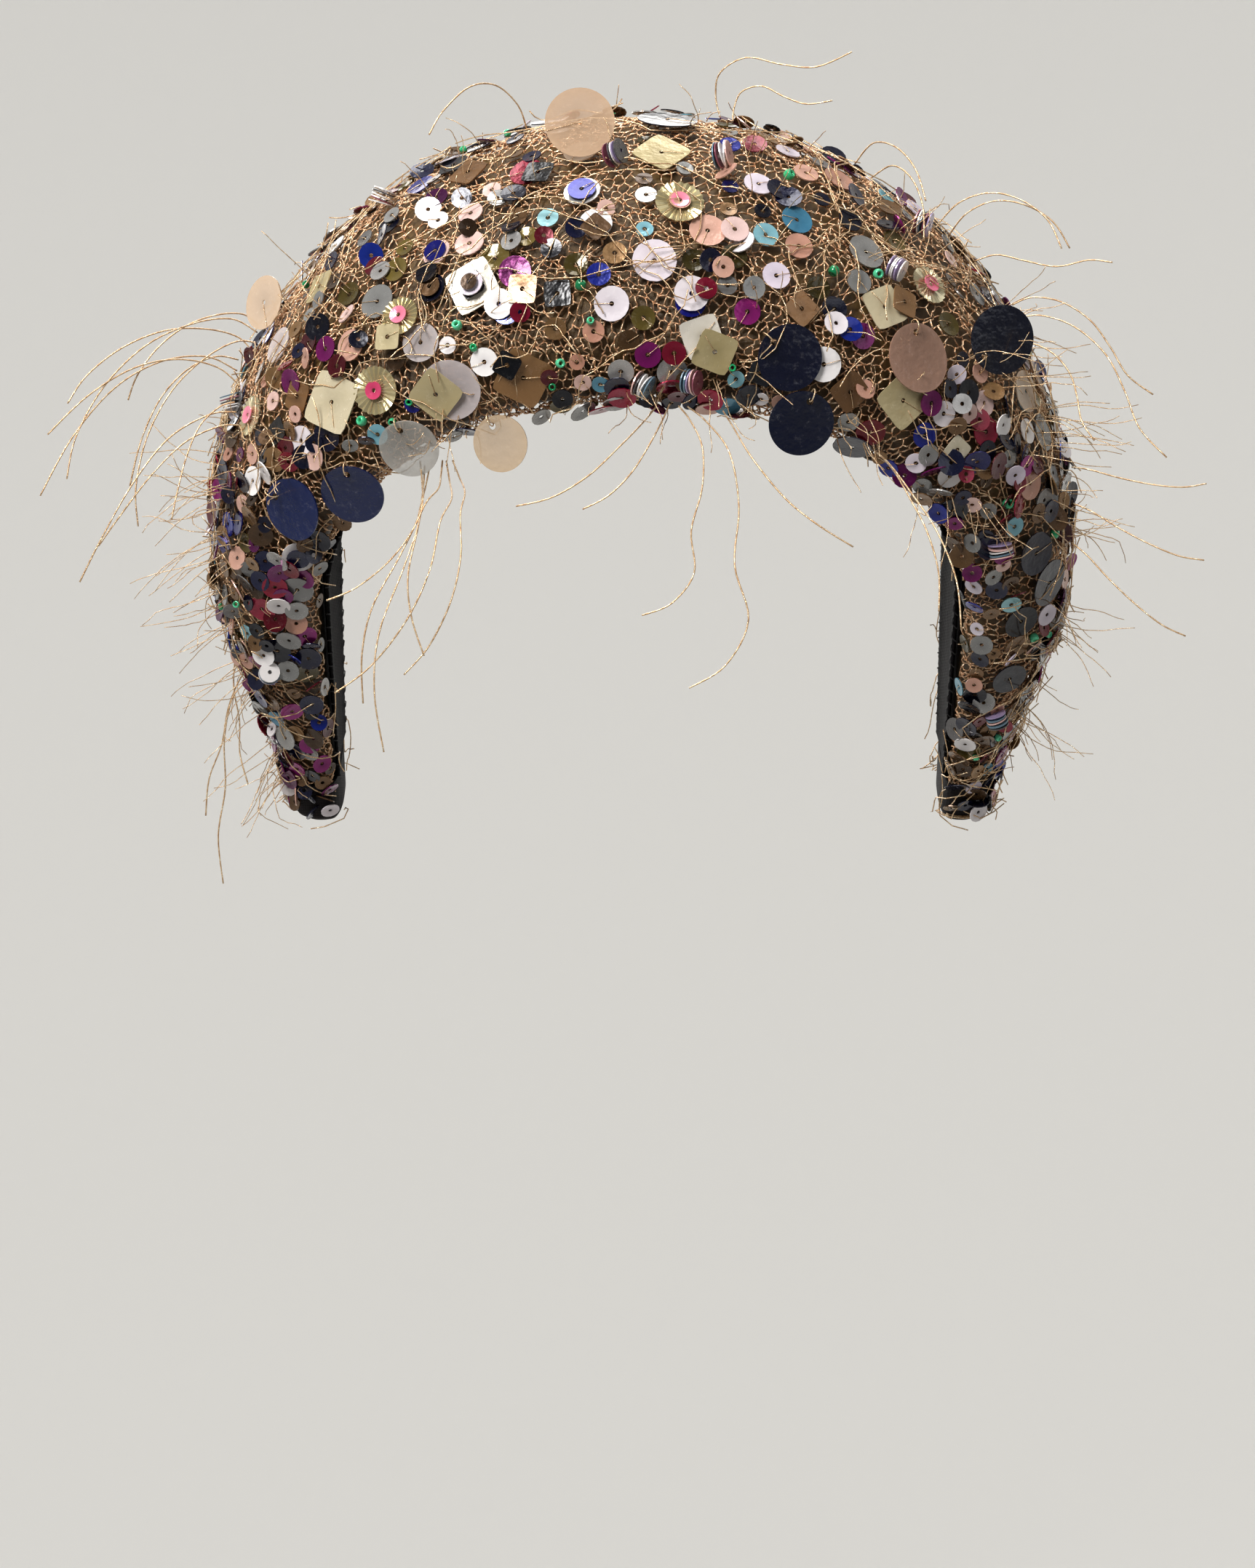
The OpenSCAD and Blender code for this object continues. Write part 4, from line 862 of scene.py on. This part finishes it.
def fillerPlaces():
    # random places, more of them away from the crown; one too near a sewn sequin is dropped
    many = filler["count"] * filler["tries"]
    side = np.where(rng.random(many) < 0.5, -1, 1)
    t = side * halfLen * filler["reach"] * rng.random(many) ** 0.75
    a = rng.uniform(*filler["across"], many)
    crown = (np.abs(t) < filler["crown"]) & (a > 14) & (a < 120)
    keep = ~crown | (rng.random(many) < filler["crownShare"])
    t, a = t[keep], a[keep]
    point, normal, along, around = coverFrame(t, a)
    near = (((point[:, None] - made[None]) ** 2).sum(-1) ** 0.5 - reachOf).min(1)
    chosen = []
    gap = filler["clear"] ** 2
    for index in np.nonzero(near > 0)[0]:
        if all(((point[index] - point[k]) ** 2).sum() > gap for k in chosen):
            chosen.append(index)
        if len(chosen) == filler["count"]:
            break
    return point[chosen], normal[chosen], along[chosen]


centre, normal, along = fillerPlaces()
count = len(centre)
centre = centre + rng.uniform(*filler["lift"], (count, 1)) * normal
normal = unit(normal + rng.normal(0, filler["slant"], (count, 3)))
axis = unit(along - (along * normal).sum(-1, keepdims=True) * normal)
size = rng.uniform(*filler["radius"], count)
shares = np.array(list(fillerKinds.values()))
kindOf = rng.choice(len(fillerKinds), count, p=shares / sum(fillerKinds.values()))
for index, kind in enumerate(fillerKinds):
    chosen = kindOf == index
    r = size[chosen]
    hole, half = np.full(len(r), filler["hole"]), np.full(len(r), filler["half"])
    radii = np.stack([r, r, hole, hole], 1)
    heights = np.stack([0.06 * r - half, 0.06 * r + half, half, -half], 1)
    piece = thinDiscs(f"{kind}_small_sequins", centre[chosen], normal[chosen], axis[chosen], radii,
                      heights, filler["segments"], bpy.data.materials[kind + "Sequin"])
    sewOn(piece, kind + "_sequin")
print("small sequins:", count)

# stacks: thin sequins of several colours on one stitch, each a little off the next
stack = {"thickness": 0.0003, "sink": 0.0011, "hole": 0.0005, "segments": 20}
stackTones = [rgb(236, 232, 230), rgb(150, 132, 176), rgb(16, 16, 26), rgb(222, 178, 168),
              rgb(120, 20, 60), rgb(226, 222, 220), rgb(72, 110, 130)]


def stripedFinish():
    f = Finish("stackedSequins")
    tint = f.attribute("tint")
    stops = [(i / len(stackTones), c) for i, c in enumerate(stackTones)]
    colour = f.ramp(tint, stops)
    for node in f.tree.nodes:
        if node.type == "VALTORGB":
            node.color_ramp.interpolation = "CONSTANT"
    return f.shade(Base_Color=f.mix(0.25 * f.noise(900.0), colour, (0.5, 0.46, 0.44)), Metallic=0.15,
                   Roughness=0.2 + 0.1 * f.noise(1200.0), Coat_Weight=0.5, Coat_Roughness=0.08)


centre, normal, farthest, radius, near = measured("sequin_stacks")
facing = unit(normal + rng.normal(0, 0.05, centre.shape))
axis = unit(farthest - (farthest * facing).sum(-1, keepdims=True) * facing)
size = radius * rng.uniform(0.88, 1.0, len(centre))
half = np.full(len(size), stack["thickness"] / 2)
hole = np.full(len(size), stack["hole"])
centre = centre - stack["sink"] * surfaceN[near]
radii = np.stack([size, size, hole, hole], 1)
heights = np.stack([-half, half, half, -half], 1)
points, faces = discs(centre, facing, axis, radii, heights, np.ones((1, 4, stack["segments"])))
tint = np.repeat(rng.random(len(size)) * 0.999, 4 * stack["segments"])
stacks = makePiece("stacked_sequins", points, [faces], stripedFinish(), False, {"tint": tint})
sewOn(stacks, "stack_sequin", "sequin_stacks")

# the stitch that holds each sequin: out of the hole, over the rim and back into the cloth
allCentres, allNormals, allRadii = (np.concatenate(column) for column in zip(*sewn))
way = unit(np.cross(allNormals, rng.normal(0, 1, allNormals.shape)))
out = np.array([-0.15, 0.0, 0.3, 0.62, 0.95, 1.12])[None, :, None] * allRadii[:, None, None]
high = np.array([-0.0003, 0.00035, 0.0005, 0.0005, 0.00045, -0.0004])[None, :, None]
stitchPaths = allCentres[:, None] + out * way[:, None] + high * allNormals[:, None]
stitchRadius = 0.00009
points, faces = tubes(stitchPaths, stitchRadius, 3, allNormals[:, None])
stitches = makePiece("sequin_stitches", points, faces, finishes["gold"])
sewOn(stitches, "stitch_thread")
print("stacks and stitches made")

# seed beads: a flattened sphere with a hole, as a turned profile
centre, normal, farthest, radius, near = measured("green_beads")
bead = {"hole": 0.0004, "squash": 0.8, "extra": 26, "small": 0.0009, "lift": 0.0011, "reach": 0.17,
        "ring": 8, "segments": 14}
extra = bead["extra"]                            # smaller beads, sewn between the sequins
extraT = rng.uniform(-bead["reach"], bead["reach"], extra)
extraA = rng.uniform(5, 170, extra)
extraP, extraN = coverFrame(extraT, extraA)[:2]
centre = np.concatenate([centre, extraP + bead["lift"] * extraN])
normal = unit(np.concatenate([normal, extraN]) + rng.normal(0, 0.4, (len(centre), 3)))
radius = np.concatenate([radius, np.full(extra, bead["small"])])
axis = unit(np.cross(normal, [0.3, 0.5, 0.8]))
profile = np.arange(bead["ring"]) * 2 * np.pi / bead["ring"]
tube = (radius - bead["hole"])[:, None] / 2
radii = bead["hole"] + tube + tube * np.cos(profile)[None]
heights = radius[:, None] * bead["squash"] * np.sin(profile)[None]
points, faces = discs(centre, normal, axis, radii, heights, np.ones((1, bead["ring"], bead["segments"])))
beadTones = [rgb(16, 110, 66), rgb(30, 168, 104), rgb(96, 206, 160)]
beadGlass = sequinFinish("greenGlass", beadTones, 0.1, 0.06)
tint = np.repeat(rng.random(len(centre)), bead["ring"] * bead["segments"])
beads = makePiece("seed_beads", points, [faces], beadGlass, True,
                  {"tint": tint, "radial": np.ones(len(tint))})
sewOn(beads, "green_glass", "green_beads")
print("beads:", len(centre))

# ---- paillettes: large thin discs that hang from their stitches ----
paillettes = {
    "left_outer": ([rgb(3, 12, 44), rgb(8, 24, 70), rgb(16, 38, 92)], 1.0, "navy_paillette"),
    "left_inner": ([rgb(3, 11, 42), rgb(7, 22, 66), rgb(14, 34, 86)], 1.0, "navy_paillette"),
    "smoke_left": ([rgb(150, 150, 146), rgb(172, 170, 164), rgb(190, 186, 178)], 0.45, "smoke_paillette"),
    "forehead_left": ([rgb(176, 152, 122), rgb(196, 172, 142), rgb(208, 188, 160)], 0.6, "peach_paillette"),
    "forehead_right": ([rgb(3, 8, 28), rgb(6, 15, 44), rgb(12, 26, 62)], 1.0, "ink_paillette"),
    "centre": ([rgb(4, 6, 20), rgb(7, 10, 30), rgb(12, 18, 46)], 1.0, "ink_paillette"),
    "mauve_right": ([rgb(128, 96, 80), rgb(154, 120, 102), rgb(176, 142, 124)], 0.74, "mauve_paillette"),
    "navy_right": ([rgb(2, 4, 16), rgb(5, 8, 26), rgb(10, 15, 40)], 1.0, "ink_paillette"),
}
jointAt = {j["child"]: np.array(j["pos_m"]) for j in frame["joints"]}
disc = {"segments": 56, "rings": 7, "hole": 0.0008, "thickness": 0.00036, "warp": 0.00018,
        "rim": 0.0014, "edge": 50}


def paillette(name, tones, alpha, slotName):
    # rings run from the off-centre stitch hole to the rim, and the disc is warped like a saddle
    node = "paillette_" + name
    centre, normal, farthest, radius, near = (column[0] for column in measured(node))
    toHole = jointAt[node] - centre
    toHole = toHole - (toHole @ normal) * normal
    u = unit(toHole)
    hole = u * (radius - disc["rim"] - disc["hole"])
    v = np.cross(normal, u)
    turn = np.arange(disc["segments"]) * 2 * np.pi / disc["segments"]
    ring = np.cos(turn)[:, None] * u + np.sin(turn)[:, None] * v
    share = np.linspace(0, 1, disc["rings"])[:, None, None]
    face = (hole + disc["hole"] * ring) * (1 - share) + radius * ring * share
    height = disc["warp"] * ((face @ u) ** 2 - (face @ v) ** 2) / radius ** 2
    face = centre + face + height[..., None] * normal
    half = disc["thickness"] / 2 * normal
    loop = np.concatenate([face + half, (face - half)[::-1]])     # top out to the rim, then back under
    steps = len(loop)
    number = np.arange(steps * disc["segments"]).reshape(steps, disc["segments"])
    side, up = np.roll(number, -1, 1), np.roll(number, -1, 0)
    both = np.roll(side, -1, 0)
    faces = np.stack([number, up, both, side], -1).reshape(-1, 4)
    outward = np.linspace(0.1, 1, disc["rings"])
    radial = np.concatenate([outward, outward[::-1]])
    metallic = 0.0 if alpha < 1 else 0.15
    finish = sequinFinish(name + "Paillette", tones, metallic, 0.2, alpha, 0.00003, 0.07)
    piece = makePiece("paillette_disc_" + name, loop.reshape(-1, 3), [faces], finish, True,
                      {"tint": np.full(steps * disc["segments"], rng.uniform(0.3, 0.7)),
                       "radial": np.repeat(radial, disc["segments"])})
    crisp = piece.modifiers.new("edges", "EDGE_SPLIT")
    crisp.split_angle = math.radians(disc["edge"])
    sewOn(piece, slotName, node, body=node)


for name, (tones, alpha, slotName) in paillettes.items():
    paillette(name, tones, alpha, slotName)
print("paillettes:", len(paillettes))

# ---- lining ribbon: ribbed, with a woven edge and small hem stitches ----
lining = {"share": 0.359, "end": 0.0153, "low": 0.00005, "high": 0.00068, "along": 520, "across": 25,
          "rib": 0.0011}


def liningRibbon():
    # a shaped strip that lies in the band's inside curve; ribs are a cosine along the band
    t = np.linspace(-1, 1, lining["along"]) * (halfLen - lining["end"])
    share = np.linspace(-1, 1, lining["across"])
    s = lining["share"] * widthAt(t)[:, None] * share[None]
    rib = 0.00006 * (1 + np.cos(2 * np.pi * t / lining["rib"]))[:, None]
    edge = 0.00010 * (np.abs(share) > 0.9)[None]
    tt = np.broadcast_to(t[:, None], s.shape)
    lower = sectionPoint(tt, s, lining["low"] + rib - edge * 0.3)
    upper = sectionPoint(tt, s, np.full(s.shape, lining["high"]))
    loop = np.concatenate([lower, upper[:, ::-1]], 1)
    rows, columns = loop.shape[:2]
    number = np.arange(rows * columns).reshape(rows, columns)
    side = np.roll(number, -1, 1)
    walls = np.stack([number[:-1], side[:-1], side[1:], number[1:]], -1).reshape(-1, 4)
    half = columns // 2
    ends = []
    for row, flip in ((number[0], True), (number[-1], False)):
        low, high = row[:half], row[half:][::-1]
        strip = np.stack([low[:-1], high[:-1], high[1:], low[1:]], -1)
        ends.append(strip[:, ::-1] if not flip else strip)
    area = float((np.gradient(t) * 2 * lining["share"] * widthAt(t)).sum())
    return loop.reshape(-1, 3), [walls, *ends], area


points, faces, liningArea = liningRibbon()
ribbon = makePiece("lining_strip", points, faces, finishes["lining"])
sewOn(ribbon, "lining", "lining_ribbon")

hem = {"pitch": 0.0042, "length": 0.0021, "radius": 0.00016, "end": 0.018}
hemT = np.arange(-halfLen + hem["end"], halfLen - hem["end"], hem["pitch"])
for side, label in ((1, "front"), (-1, "back")):
    share = np.array([0.86, 0.93, 1.0, 1.06])
    depth = np.array([0.0003, -0.00016, -0.00012, 0.0012])
    t = hemT[:, None] + np.linspace(0, hem["length"], 4)[None]
    s = side * lining["share"] * widthAt(t) * share[None]
    path = sectionPoint(t, s, np.broadcast_to(depth[None], s.shape))
    points, faces = tubes(path, hem["radius"], 4, spine(t)[2])
    hemPiece = makePiece("hem_stitches_" + label, points, faces, finishes["darkThread"])
    sewOn(hemPiece, "lining")
print("lining and hem stitches made")

# ---- tip bindings: ribbon folded round each tip ----
binding = {"length": 0.0150, "gap": 0.0004, "closing": 0.0008, "columns": 64, "rows": 34,
           "cap": 0.003, "fold": 0.00012, "thickness": 0.0003}


def tipBinding(side, label):
    # rings just outside the cover, closed at the tip by a quarter circle, with soft folds
    turn = np.radians([0, 22, 45, 64, 80, 89.5])
    straight = binding["length"] - binding["cap"]
    body = halfLen - binding["length"] + np.linspace(0, 1, binding["rows"]) * straight
    t = np.concatenate([body, body[-1] + (binding["cap"] + binding["closing"]) * np.sin(turn[1:])])
    shrink = np.concatenate([np.ones(len(body)), np.cos(turn[1:])])
    a = np.arange(binding["columns"]) * 360 / binding["columns"]
    fold = binding["fold"] * np.sin(np.radians(a) * 9)[None] * np.linspace(0.2, 1, len(t))[:, None]
    rings = layerPoint(side * np.minimum(t, halfLen)[:, None], a[None], -binding["gap"] - fold, -0.0001)
    beyond = np.maximum(t - halfLen, 0)[:, None, None] * (-upward)
    rings = rings + beyond
    middle = rings.mean(axis=1, keepdims=True)
    rings = middle + (rings - middle) * shrink[:, None, None]
    walls, number = ringFaces(len(t), binding["columns"])
    pole = rings[-1].mean(0)
    sideOn = np.roll(number, -1, axis=1)
    last = number.size
    fan = np.stack([number[-1], np.full(binding["columns"], last), sideOn[-1]], -1)
    if side < 0:
        walls, fan = walls[:, ::-1], fan[:, ::-1]
    points = np.concatenate([rings.reshape(-1, 3), pole[None]])
    piece = makePiece("binding_" + label, points, [walls, fan], finishes["binding"])
    wall = piece.modifiers.new("thickness", "SOLIDIFY")
    wall.thickness, wall.offset = binding["thickness"], -1
    sewOn(piece, "binding", "tip_binding_" + label)


tipBinding(-1, "left")
tipBinding(1, "right")
print("tip bindings made")

# ---- carried-over parts inside the cushion and the paillette loops ----


def plainFinish(name, dark, pale, rough, scale, distance):
    f = Finish(name)
    cloud = f.noise(scale, 3.0)
    return f.shade(Base_Color=f.ramp(cloud, [(0.3, dark), (0.7, pale)]),
                   Roughness=rough + 0.1 * cloud, Normal=f.bump(f.noise(scale * 4, 2.0), distance))


inside = {
    "spring_band": plainFinish("springPlastic", rgb(14, 14, 15), rgb(30, 30, 32), 0.4, 300.0, 0.00003),
    "front_edge_wire": finishes["piping"],
    "back_edge_wire": finishes["piping"],
    "buckram_base": finishes["piping"],
    "paillette_loops": finishes["gold"],
}
for node, material in inside.items():
    mesh = frame["nodes"][node].data
    mesh.materials.clear()
    mesh.materials.append(material)

# ---- a round pale room: floor, wall and ceiling in one turned surface ----
studio = {"floor": -1.05, "radius": 2.0, "bend": 0.6, "top": 2.2, "around": 72, "glow": 0.25}


def studioRoom():
    # the profile is a flat floor, a quarter circle, a straight wall, a quarter circle and a flat
    # ceiling, and it is turned about the upright axis
    turn = np.linspace(0, np.pi / 2, 14)
    inner = studio["radius"] - studio["bend"]
    low, high = studio["floor"] + studio["bend"], studio["top"] - studio["bend"]
    radius = np.concatenate([[0.0004], inner + studio["bend"] * np.sin(turn),
                             inner + studio["bend"] * np.cos(turn), [0.0004]])
    z = np.concatenate([[studio["floor"]], low - studio["bend"] * np.cos(turn),
                        high + studio["bend"] * np.sin(turn), [studio["top"]]])
    a = np.arange(studio["around"]) * 2 * np.pi / studio["around"]
    x, y = radius[:, None] * np.cos(a), radius[:, None] * np.sin(a)
    points = np.stack([x, y, np.broadcast_to(z[:, None], x.shape)], -1)
    return points.reshape(-1, 3), ringFaces(len(z), studio["around"])[0]


points, faces = studioRoom()
paper = Finish("studioPaper")
# the room is pale behind the piece and darker in front, so that the sequins keep deep tones
depth = paper.add("SeparateXYZ", {}, {"Vector": paper.coords}, "Y")
share = depth / (2 * studio["radius"]) + 0.5 + 0.02 * paper.noise(0.9, 2.0)
wallTone = paper.ramp(share, [(0.12, rgb(104, 104, 103)), (0.85, rgb(217, 216, 213))])
paper.shade(Base_Color=wallTone, Roughness=0.9, Specular_IOR_Level=0.1,
            Emission_Color=wallTone, Emission_Strength=studio["glow"])
backdrop = makePiece("studio_room", points, [faces], paper.material)
print("studio made")
